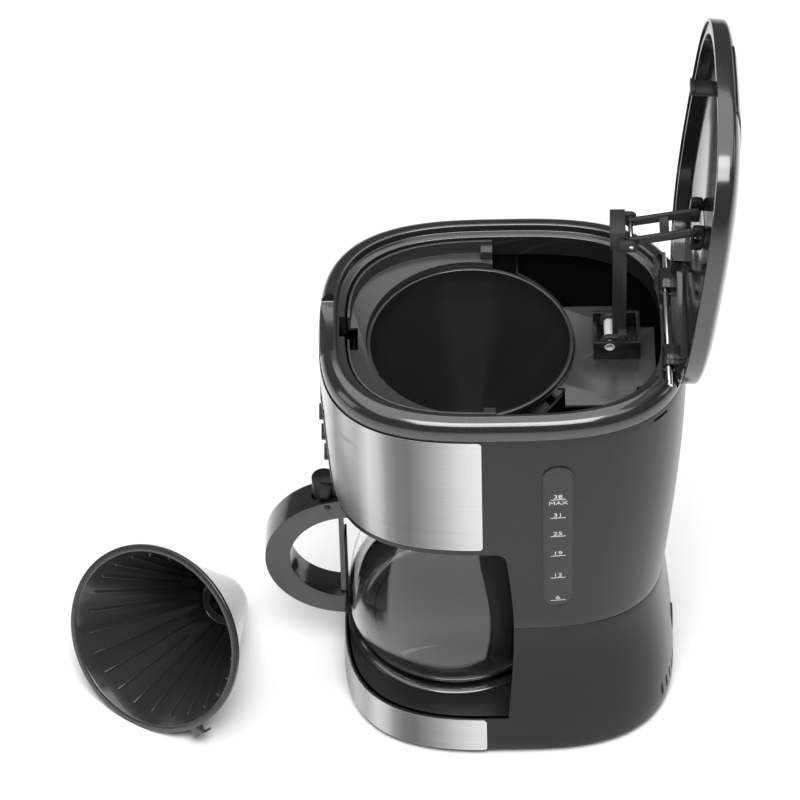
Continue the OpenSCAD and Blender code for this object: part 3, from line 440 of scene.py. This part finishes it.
def joined(*meshes):
    total = bmesh.new()
    for bm in meshes:
        data = bpy.data.meshes.new("joining")
        bm.to_mesh(data)
        total.from_mesh(data)
        bpy.data.meshes.remove(data)
    return total


def carve(bm, *tools, kind="DIFFERENCE"):
    holders = []
    for shape in (bm, *tools):
        data = bpy.data.meshes.new("working")
        shape.to_mesh(data)
        holder = bpy.data.objects.new("working", data)
        scene.collection.objects.link(holder)
        holders.append(holder)
    for tool in holders[1:]:
        step = holders[0].modifiers.new("cut", "BOOLEAN")
        step.operation, step.solver, step.object = kind, "EXACT", tool
    seen = holders[0].evaluated_get(bpy.context.evaluated_depsgraph_get())
    result = bmesh.new()
    result.from_mesh(seen.to_mesh())
    seen.to_mesh_clear()
    for holder in holders:
        data = holder.data
        bpy.data.objects.remove(holder)
        bpy.data.meshes.remove(data)
    bmesh.ops.remove_doubles(result, verts=result.verts, dist=0.002)
    return result


def soften(bm, width, angle=35, segments=2, pick=None):
    # a small round on every edge that turns by more than the angle
    limit = math.radians(angle)
    edges = [e for e in bm.edges if len(e.link_faces) == 2 and e.calc_face_angle(0) > limit
             and (pick is None or pick(e))]
    if edges:
        bmesh.ops.bevel(bm, geom=edges, offset=width, segments=segments, profile=0.5, affect="EDGES",
                        material=-1, clamp_overlap=True)
    return bm


def moved(bm, *steps):
    for step in steps:
        bmesh.ops.transform(bm, matrix=step, verts=bm.verts)
    return bm


def addPiece(name, bm, look, body, replaces=None, sharp=32):
    bmesh.ops.scale(bm, vec=(mm, mm, mm), verts=bm.verts)
    bm.normal_update()
    for face in bm.faces:
        face.smooth = True
    for edge in bm.edges:
        if len(edge.link_faces) == 2 and edge.calc_face_angle(0) > math.radians(sharp):
            edge.smooth = False
    data = bpy.data.meshes.new(name)
    bm.to_mesh(data)
    bm.free()
    data.materials.append(looks[look].material)
    piece = bpy.data.objects.new(name, data)
    scene.collection.objects.link(piece)
    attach(piece, body)
    if replaces:
        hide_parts(replaces)
    return piece


def merged(node):
    # a merged copy of a machined piece, in millimetres
    bm = bmesh.new()
    bm.from_mesh(frame["nodes"][node].data)
    bmesh.ops.scale(bm, vec=(1 / mm, 1 / mm, 1 / mm), verts=bm.verts)
    bmesh.ops.remove_doubles(bm, verts=bm.verts, dist=0.004)
    bmesh.ops.dissolve_limit(bm, angle_limit=math.radians(0.6), verts=bm.verts, edges=bm.edges,
                             use_dissolve_boundaries=False)
    return bm


def refine(node, look, width):
    # a machined piece with small rounds on its edges
    words = node.split("_")
    name = words[0] + "".join(w.capitalize() for w in words[1:]) + "Part"
    bm = soften(merged(node), width, 38)
    return addPiece(name, bm, look, frame["nodes"][node]["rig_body"], node)


# body
body = {"height": 332, "rimWidth": 196, "rimDepth": 244, "rimBottom": 318, "waistWidth": 171, "waistDepth": 217,
        "waistZ": 115, "waistMiddle": 0.5, "baseWidth": 202, "baseDepth": 230, "baseMiddle": 2,
        "bottomZ": 5, "wall": 2.6, "deckZ": 34, "chamberZ": 200, "seam": 0.35,
        "plateHole": 75.6, "deckThick": 2.5}
gland = {"z": 26, "bore": 7.1, "flange": 9.6, "sunk": 1.4}
vents = {"reach": 60, "step": 8, "clear": 20, "width": 3, "low": 12, "high": 24, "round": 1.4}
display = {"width": 30.4, "low": 229.8, "high": 264.2, "round": 2.2}
far = 400  # past every outer face
jug = {"y": -35, "radius": 74, "height": 128, "neck": 50, "foot": 61, "glass": 2.4, "baseZ": 38.4,
       "corner": 12}


def bodyAt(z):
    low = (body["waistWidth"], body["waistDepth"], 2 * body["waistMiddle"])
    if z >= body["waistZ"]:
        high = (body["rimWidth"], body["rimDepth"], 0)
        t = math.sin(math.pi / 2 * min(1, (z - body["waistZ"]) / (body["rimBottom"] - body["waistZ"])))
    else:
        high = (body["baseWidth"], body["baseDepth"], 2 * body["baseMiddle"])
        t = (1 - math.cos(math.pi * min(1, (body["waistZ"] - z) / body["waistZ"]))) / 2
    return [(a + (b - a) * t) / 2 for a, b in zip(low, high)]


def wallPoints(z0, z1, thick):
    return [(0, z0), (0, z1), (thick, z1), (thick, z0)]


niche = {"edgeY": 0, "bow": 4.5, "topRound": 9}


def nicheTool():
    low, high, edge = body["deckZ"], body["chamberZ"], niche["edgeY"]
    top = high - niche["topRound"]
    line = [(-far, low), (-far, high), (edge - niche["topRound"], high)]
    line += [(edge + niche["topRound"] * (math.sin(a) - 1), top + niche["topRound"] * math.cos(a))
             for a in [math.pi / 16 * k for k in range(1, 8)]]
    line += [(edge + niche["bow"] * math.sin(math.pi * k / 24), top + (low - top) * k / 24)
             for k in range(1, 25)]
    return prism(line, -far, far, "x")


gauge = {"y": 34.5, "width": 19.5, "low": 141, "length": 150,
         "marks": [(258.6, "38"), (239.4, "31"), (219.6, "25"), (198.1, "19"), (173.4, "12"), (147.6, "6")]}


def gaugeTool(grow, x0=10, x1=far):
    half = gauge["width"] / 2 + grow
    return roundedBox(x0, x1, gauge["y"] - half, gauge["y"] + half, gauge["low"] - grow,
                      gauge["low"] + gauge["length"] + grow, half - 0.01, "x", 14)


keys = {"x": 24, "firstZ": 270, "pitch": 20, "width": 13, "height": 6.5}


def keyTools(grow):
    found = []
    for k in range(6):
        x = (-1 if k % 2 == 0 else 1) * keys["x"]
        z = keys["firstZ"] - keys["pitch"] * (k // 2)
        w, h = keys["width"] / 2 + grow, keys["height"] / 2 + grow
        found.append(roundedBox(x - w, x + w, -far, -60, z - h, z + h, h - 0.01, "y", 8))
    return joined(*found)


def makeLowerShell():
    points = wallPoints(body["bottomZ"], body["waistZ"] - body["seam"] / 2, body["wall"])
    shell = ovalSpin(points, bodyAt, {0: 1.2, 1: 0.5})
    half = vents["width"] / 2
    slits = [roundedBox(x - half, x + half, 80, far, vents["low"], vents["high"], vents["round"], "y", 4)
             for x in range(-vents["reach"], vents["reach"] + 1, vents["step"]) if abs(x) > vents["clear"]]
    rear = bodyAt(gland["z"])[1] + bodyAt(gland["z"])[2]
    bore = cylinder(gland["bore"], 100, 64)
    moved(bore, alongY, Matrix.Translation((0, 130, gland["z"])))
    recess = moved(cylinder(gland["flange"], 40, 64), alongY,
                   Matrix.Translation((0, rear - gland["sunk"] + 20, gland["z"])))
    shell = carve(shell, nicheTool(), joined(*slits), bore, recess)
    addPiece("lowerShell", shell, "housingPlastic", "machine", "lower_housing")
    # the deck that the hot plate's surround sits in
    under = body["deckZ"] - body["deckThick"]
    points = [(0, under), (0, body["deckZ"]), (98, body["deckZ"]), (98, under)]
    deck = ovalSpin(points, lambda z: bodyAt(33), {1: 0.9}, step=400)
    hole = moved(cylinder(body["plateHole"], 30, 128), Matrix.Translation((0, jug["y"], 33)))
    deck = carve(deck, hole, roundedBox(-200, 200, 8, 200, 0, 60))
    addPiece("deckPlate", deck, "housingPlastic", "machine", None)


def makeUpperShell():
    points = wallPoints(body["waistZ"] + body["seam"] / 2, body["rimBottom"] - 0.15, body["wall"])
    shell = ovalSpin(points, bodyAt, {0: 0.5, 1: 0.3})
    slots = [roundedBox(30 if s > 0 else -far, far if s > 0 else -30, 98, 107, 311, 314)
             for s in (-1, 1)]
    half = display["width"] / 2
    screen = roundedBox(-half, half, -far, -60, display["low"], display["high"], display["round"], "y", 5)
    shell = carve(shell, nicheTool(), gaugeTool(0.2), joined(*slots), joined(keyTools(0.35), screen))
    addPiece("upperShell", shell, "housingPlastic", "machine", "upper_housing")


rim = {"band": 11.5, "ledge": 5.5, "ledgeZ": 326.5, "skirtZ": 310, "notch": 52, "notchZ": 324,
       "tail": 114, "tailZ": 321.5, "pinY": 108.5}


def makeRim():
    top, low, band, ledge = body["height"], body["rimBottom"], rim["band"], rim["ledge"]
    points = [(0, low), (0, top), (band, top), (band, rim["ledgeZ"]), (band + ledge, rim["ledgeZ"]),
              (band + ledge + 0.6, rim["skirtZ"]), (band + ledge - 2, rim["skirtZ"]), (band + ledge - 2.6, low)]
    sizes = lambda z: (body["rimWidth"] / 2, body["rimDepth"] / 2, 0)
    rounds = {0: 0.4, 1: 9.2, 2: 1.3, 3: 0.7, 4: 0.8}
    shell = ovalSpin(points, sizes, rounds, step=30)
    front = -body["rimDepth"] / 2
    half = rim["notch"] / 2
    notch = roundedBox(-half, half, -far, front + band - 2, rim["notchZ"], far, 1.5, "y", 4)
    half = rim["tail"] / 2
    tail = roundedBox(-half, half, rim["pinY"] - 7, far, rim["tailZ"], far)
    slot = roundedBox(-9, 9, front + band + 1.5, front + band + ledge + 3, 300, 333)
    shell = carve(shell, notch, tail, slot)
    addPiece("rimRing", shell, "rimPlastic", "machine", "top_rim")


print("shells")
makeLowerShell()
makeUpperShell()
makeRim()

# steel trim
trim = {"thick": 0.8, "panelLow": 206, "panelHigh": 317, "panelY": -16, "corner": 3, "bandLow": 5,
        "bandHigh": 33.5, "bandY": -15, "creaseZ": 293.5, "creaseDepth": 0.45}


def sheetOf(z0, z1, rearY, proud, crease=0.0):
    # a grid bent round the front of the body; columns run from one rear edge to the other
    columns, rows = 180, 44
    bm = bmesh.new()
    bmesh.ops.create_grid(bm, x_segments=columns, y_segments=rows, size=1)
    for v in bm.verts:
        z = z0 + (z1 - z0) * (v.co.y + 1) / 2
        wide, deep, middle = bodyAt(z)
        start = math.asin(min(1, abs((rearY - middle) / (deep + proud)) ** 1.5))
        turn = -math.pi + start + (math.pi - 2 * start) * (v.co.x + 1) / 2
        out = proud
        if crease:
            fade = max(0, min(1, (-math.sin(turn) - 0.45) / 0.45))
            lift = max(0, min(1, (z - trim["creaseZ"] + 1.2) / 2.4))
            out += crease * (lift - 1) * fade
        v.co.x = (wide + out) * power(math.cos(turn), 2 / 3)
        v.co.y = middle + (deep + out) * power(math.sin(turn), 2 / 3)
        v.co.z = z
    bmesh.ops.recalc_face_normals(bm, faces=bm.faces)
    return bm


def makeTrimSheet(name, z0, z1, rearY, node, look, corners, cuts=(), crease=0.0):
    sheet = sheetOf(z0, z1, rearY, trim["thick"], crease)
    middle = sheet.faces[:][len(sheet.faces) // 2]
    outward = middle.normal.dot(middle.calc_center_median() * Vector((1, 1, 0))) > 0
    if not outward:
        bmesh.ops.reverse_faces(sheet, faces=sheet.faces)
    bmesh.ops.solidify(sheet, geom=list(sheet.verts) + list(sheet.edges) + list(sheet.faces),
                       thickness=trim["thick"] - 0.03 - crease)
    bmesh.ops.recalc_face_normals(sheet, faces=sheet.faces)
    r = trim["corner"]
    tools = list(cuts)
    for high in corners:
        z = z1 if high else z0
        way = -1 if high else 1
        arc = [(rearY - r + r * math.cos(a), z + way * r - way * r * math.sin(a))
               for a in [math.pi / 2 * k / 8 for k in range(9)]]
        tools.append(prism([(rearY + 3, z - way * 3), (rearY + 3, z + way * r)] + arc
                           + [(rearY - r, z - way * 3)], -far, far, "x"))
    sheet = carve(sheet, *tools)
    addPiece(name, sheet, look, "machine", node)


panelHole = roundedBox(-34.1, 34.1, -far, 0, 150, 282.1, 6, "y", 6)
makeTrimSheet("upperSteel", trim["panelLow"], trim["panelHigh"], trim["panelY"], "upper_steel_panel",
           "brushedPanel", (0, 1), [panelHole], trim["creaseDepth"])
makeTrimSheet("baseSteel", trim["bandLow"], trim["bandHigh"], trim["bandY"], "base_steel_band",
           "brushedBand", (0, 1))
print("steel trim")


# gauge
def levelMarks():
    # numbers and ticks printed just inside the window
    flat = []
    for z, words in gauge["marks"]:
        flat.append((words, 5.4, gauge["y"] - 0.2, z + 1.2))
        flat.append((None, None, gauge["y"], z))
    flat.append(("MAX", 5.0, gauge["y"], gauge["marks"][0][0] - 5.2))
    return flat


def printed(words, size, y, z):
    curve = bpy.data.curves.new("marks", "FONT")
    curve.body, curve.size, curve.align_x, curve.extrude = words, size, "CENTER", 0.06
    curve.resolution_u = 4
    holder = bpy.data.objects.new("marks", curve)
    scene.collection.objects.link(holder)
    dg = bpy.context.evaluated_depsgraph_get()
    bm = bmesh.new()
    bm.from_mesh(holder.evaluated_get(dg).to_mesh())
    bpy.data.objects.remove(holder)
    bpy.data.curves.remove(curve)
    # text stands upright and faces +X
    upright = Matrix(((0, 0, 1, 0), (1.2, 0, 0, y), (0, 1, 0, z), (0, 0, 0, 1)))
    return moved(bm, upright)


def onSkin(bm, proud):
    # presses flat work on to the curved side of the body
    for v in bm.verts:
        wide, deep, middle = bodyAt(v.co.z)
        side = max(0, 1 - (abs(v.co.y - middle) / deep) ** 3) ** (1 / 3)
        v.co.x = v.co.x + wide * side + proud
    return bm


def makeGauge():
    marks = []
    for words, size, y, z in levelMarks():
        if words:
            marks.append(printed(words, size, y, z))
        else:
            marks.append(roundedBox(-0.06, 0.06, y - 5, y + 5, z - 0.3, z + 0.3))
    addPiece("gaugeMarks", onSkin(joined(*marks), 0.68), "gaugePrint", "machine", None)
    # window: a long rounded pad that follows the side
    pad = gaugeTool(0, 60, 120)
    wall = ovalSpin([(-0.6, 130), (-0.6, 300), (2.4, 300), (2.4, 130)], bodyAt, None)
    pad = carve(wall, pad, kind="INTERSECT")
    addPiece("gaugePane", pad, "gaugeGlass", "machine", "gauge_window")
    ring = carve(gaugeTool(0.5, 60, 120), gaugeTool(-0.35, 50, 130))
    wall = ovalSpin([(-0.85, 130), (-0.85, 300), (0.2, 300), (0.2, 130)], bodyAt, None)
    addPiece("gaugeFrame", carve(wall, ring, kind="INTERSECT"), "satinGrey", "machine", None)


makeGauge()
print("gauge")

# funnel and brew deck
brew = {"y": -22, "ringZ": 310, "ringR": 69.2, "basketR": 65, "endR": 19, "depth": 96, "gap": 1.2,
        "wall": 2.4, "footZ": 198, "drain": 11}


def makeFunnel():
    inner = brew["basketR"] + brew["gap"]
    endIn = brew["endR"] + brew["gap"] + 0.8
    cone = brew["ringZ"] - brew["depth"]
    points = [(endIn + 5, brew["footZ"]), (endIn + 5, cone - 4), (inner + brew["wall"], brew["ringZ"] - 3),
              (brew["ringR"], brew["ringZ"] - 3), (brew["ringR"], brew["ringZ"]), (inner, brew["ringZ"]),
              (inner, brew["ringZ"] - 2), (endIn, cone - 1), (brew["drain"], cone - 3),
              (brew["drain"], cone - 6), (endIn + 2, cone - 6), (endIn + 2, brew["footZ"])]
    bm = wire(points, {4: 0.6, 5: 0.8, 7: 3})
    cutLong(bm, 12)
    spinFull(bm, 144)
    notch = moved(roundedBox(-6, 6, -200, -brew["basketR"] + 1, brew["ringZ"] - 5, brew["ringZ"] + 1),
                  Matrix.Rotation(math.radians(30), 4, "Z"))
    bm = moved(carve(bm, notch), Matrix.Translation((0, brew["y"], 0)))
    addPiece("funnelCone", bm, "funnelPlastic", "machine", "brew_funnel")


makeFunnel()
print("funnel")

# lid
lid = {"open": 96.3, "pinY": 108.5, "pinZ": 328.5, "halfWidth": 96, "halfDepth": 115.6, "middle": -3,
       "z": 332.3, "band": 9, "crown": 11, "wall": 2.2, "knuckle": 18, "knuckleX": 35}
swung = (Matrix.Translation((0, lid["pinY"], lid["pinZ"]))
         @ Matrix.Rotation(-math.radians(lid["open"]), 4, "X")
         @ Matrix.Translation((0, -lid["pinY"], -lid["pinZ"])))


def makeLid():
    z, top, wall = lid["z"], lid["z"] + lid["band"], lid["wall"]
    sizes = lambda height: (lid["halfWidth"], lid["halfDepth"], lid["middle"])
    dome = lambda t, drop: (lid["halfWidth"] * (1 - math.cos(t) ** 0.6),
                            top - drop + lid["crown"] * math.sin(t))
    outer = [dome(math.radians(88) * k / 14, 0) for k in range(15)]
    inner = [dome(math.radians(88) * k / 14, wall) for k in range(15)]
    inner = [(d + wall * (1 - d / lid["halfWidth"]), h) for d, h in inner]
    profile = [(0, z), (0, top)] + outer[1:] + [(lid["halfWidth"] - 0.5, outer[-1][1] + 0.05)]
    profile += [(lid["halfWidth"] - 0.5, inner[-1][1])] + inner[::-1] + [(wall, z)]
    shell = ovalSpin(profile, sizes, {0: 0.6, 1: 1.6}, step=30)
    knuckles = []
    half = lid["knuckle"] / 2
    for x in (-lid["knuckleX"], lid["knuckleX"]):
        barrel = moved(cylinder(4, lid["knuckle"], 48), alongX,
                       Matrix.Translation((x, lid["pinY"], lid["pinZ"])))
        web = roundedBox(x - half, x + half, lid["pinY"] - 4, lid["pinY"] + 3.6, lid["pinZ"], z + 4)
        knuckles += [soften(barrel, 0.4), soften(web, 0.4)]
    shell = moved(joined(shell, *knuckles), swung)
    addPiece("lidCover", shell, "rimPlastic", "lid", "lid_shell")


makeLid()
print("lid")

# jug


def jugWall(inset):
    r, c = jug["radius"], jug["corner"]
    points = [(r - c + (c - inset) * math.sin(a), c - (c - inset) * math.cos(a))
              for a in [math.pi / 2 * k / 10 for k in range(11)]]
    for k in range(1, 33):
        t = k / 32
        fall = (1 - math.cos(math.pi * t ** 1.25)) / 2
        points.append(((r - inset) + (jug["neck"] - r) * fall, c + 8 + (jug["height"] - c - 8) * t))
    return points


def makeJug():
    inner = jugWall(jug["glass"])
    points = [(0, 0.8), (jug["foot"] - 4, 0.8), (jug["foot"] - 3, 0)] + jugWall(0)
    points += [(jug["neck"] - 0.8, jug["height"] + 0.0)] + inner[::-1] + [(0, jug["glass"] + 0.8)]
    bm = wire(points, None, closed=False)
    spinFull(bm, 160)
    bm = moved(bm, Matrix.Translation((0, jug["y"], jug["baseZ"])))
    addPiece("jugBowl", bm, "jugGlass", "jug", "jug_glass")


grip = {"width": 22, "round": 4.2}


def makeHandle():
    half = grip["width"] / 2
    side = lambda e: all(abs(abs(v.co.x) - half) < 0.05 for v in e.verts)
    bm = soften(merged("jug_handle"), grip["round"], 50, 5, side)
    addPiece("jugGrip", bm, "handlePlastic", "jug", "jug_handle")


makeJug()
makeHandle()
print("jug")

# filter basket
basket = {"radius": 65, "end": 19, "depth": 96, "wall": 1.8, "ribs": 24, "flange": 3, "at": (43, -245),
          "turn": 57}
mouth = basket["radius"] + basket["flange"]
basketTilt = math.atan((mouth - basket["end"]) / basket["depth"])
lain = (Matrix.Translation((basket["at"][0], basket["at"][1], mouth * math.cos(basketTilt)))
        @ Matrix.Rotation(math.radians(basket["turn"]), 4, "Z")
        @ Matrix.Rotation(math.pi / 2 - basketTilt, 4, "X")
        @ Matrix.Translation((0, 0, -basket["depth"])))


def makeBasket():
    r, e, h, w, f = (basket[k] for k in ("radius", "end", "depth", "wall", "flange"))
    points = [(6, 0), (e, 0), (r, h - f), (r + f, h - f), (r + f, h), (r - w, h), (e - w, w), (6, w)]
    bm = wire(points, {1: 2.0, 3: 0.5, 4: 0.6, 5: 0.6, 6: 1.0})
    cutLong(bm, 14)
    spinFull(bm, 144)
    ribs = []
    inAt = lambda z: e - w + (z - w) * (r - e) / (h - w)
    for k in range(basket["ribs"]):
        z0, z1 = w + (3 if k % 2 else 22), h - 9
        outline = [(inAt(z0) - 1.6, z0), (inAt(z0) + 0.8, z0), (inAt(z1) + 0.8, z1), (inAt(z1) - 1.6, z1)]
        rib = soften(prism(outline, -0.7, 0.7, "y"), 0.3)
        ribs.append(moved(rib, Matrix.Rotation(2 * math.pi * (k + 0.5) / basket["ribs"], 4, "Z")))
    tab = [soften(roundedBox(-5, 5, -r - 9, -r + 0.5, h - 2, h - 0.4), 0.3),
           soften(roundedBox(-5, 5, -r - 9, -r - 7.4, h - 9, h - 1), 0.3)]
    turned = [moved(t, Matrix.Rotation(math.radians(45), 4, "Z")) for t in tab]
    addPiece("basketCone", moved(joined(bm, *ribs, *turned), lain), "basketPlastic", "basket",
             "filter_basket")


makeBasket()
print("basket")

# machined pieces
refined = {  # node: look, width of the rounds on its edges
    "niche_liner": ("satinBlack", 0.4), "chamber_floor": ("rimPlastic", 0.8),
    "control_panel": ("fasciaGloss", 0.4), "display_window": ("gaugeGlass", 0.2),
    "water_tank": ("tankPlastic", 0.4), "brew_deck": ("deckPlastic", 0.5),
    "funnel_bridge": ("deckPlastic", 0.5), "arm_cradle": ("satinBlack", 0.4),
    "pivot_barrel": ("paleGrey", 0.3), "riser_pipe": ("satinGrey", 0.3),
    "lid_hinge_rod": ("polishedSteel", 0.3), "base_plate": ("satinBlack", 0.4),
    "rubber_feet": ("footRubber", 0.6), "base_screws": ("polishedSteel", 0.2),
    "hot_plate": ("plateCoating", 0.6), "hot_plate_ring": ("rimPlastic", 0.5),
    "heater_tube": ("castAluminium", 0.3), "thermostat": ("paleGrey", 0.3),
    "thermal_fuse": ("paleGrey", 0.2), "check_valve": ("paleGrey", 0.3),
    "inlet_hose": ("siliconeHose", 0.2), "riser_hose": ("siliconeHose", 0.2),
    "hose_clamps": ("polishedSteel", 0.2), "control_board": ("circuitBoard", 0.2),
    "cord_gland": ("sealRubber", 0.4), "lid_liner": ("linerPlastic", 0.6),
    "lid_plate": ("linerPlastic", 0.8), "lid_bracket": ("satinBlack", 0.4), "lid_pad": ("paleGrey", 0.4),
    "lid_catch": ("satinBlack", 0.4), "spray_arm": ("satinGrey", 0.5), "spray_head": ("satinGrey", 0.5),
    "link_pin": ("polishedSteel", 0.3), "link_frame": ("satinGrey", 0.4),
    "jug_collar": ("satinBlack", 0.4), "jug_band": ("polishedSteel", 0.3),
    "handle_strap": ("satinBlack", 0.3), "handle_screw": ("polishedSteel", 0.2),
    "lever_pin": ("satinBlack", 0.2), "jug_lid": ("satinBlack", 0.8), "thumb_lever": ("satinBlack", 0.9),
    "basket_valve": ("satinBlack", 0.3), "button_1": ("keyPlastic", 0.4), "button_2": ("keyPlastic", 0.4),
    "button_3": ("keyPlastic", 0.4), "button_4": ("keyPlastic", 0.4), "button_5": ("keyPlastic", 0.4),
    "button_6": ("keyPlastic", 0.4),
}
for node, (look, width) in refined.items():
    refine(node, look, width)
print("machined pieces:", len(refined))

# stage and light
studio = {"floorSize": 12.0, "world": 0.16,
          "lamps": [  # name, place, aim, width, height, power
              ("overhead", (-0.3, -0.1, 2.8), (-0.3, -0.1, 0), 3.6, 3.6, 96),
              ("rimStrip", (0.80, 0.0, 1.60), (0.09, 0, 0.33), 1.0, 0.75, 22),
              ("backRight", (-0.2, 2.3, 1.3), (0, 0, 0.25), 1.0, 1.4, 8),
              ("frontLeft", (0.3, -2.4, 1.0), (0, -0.05, 0.2), 1.0, 1.4, 8),
          ]}


def makeStage():
    bm = bmesh.new()
    bmesh.ops.create_grid(bm, x_segments=24, y_segments=24, size=studio["floorSize"] / 2)
    data = bpy.data.meshes.new("studioFloor")
    bm.to_mesh(data)
    data.materials.append(looks["studioFloor"].material)
    ground = bpy.data.objects.new("studioFloor", data)
    scene.collection.objects.link(ground)
    world = bpy.data.worlds.new("studio")
    world.use_nodes = True
    world.node_tree.nodes["Background"].inputs[0].default_value = (1, 1, 1, 1)
    world.node_tree.nodes["Background"].inputs[1].default_value = studio["world"]
    scene.world = world
    for name, at, aim, width, height, power_ in studio["lamps"]:
        data = bpy.data.lights.new(name, "AREA")
        data.shape, data.size, data.size_y, data.energy = "RECTANGLE", width, height, power_
        lamp = bpy.data.objects.new(name, data)
        look = Vector(aim) - Vector(at)
        lamp.matrix_world = Matrix.Translation(at) @ look.to_track_quat("-Z", "Y").to_matrix().to_4x4()
        scene.collection.objects.link(lamp)
    scene.view_settings.view_transform = "Standard"
    scene.view_settings.look = "None"


makeStage()
print("stage ready")
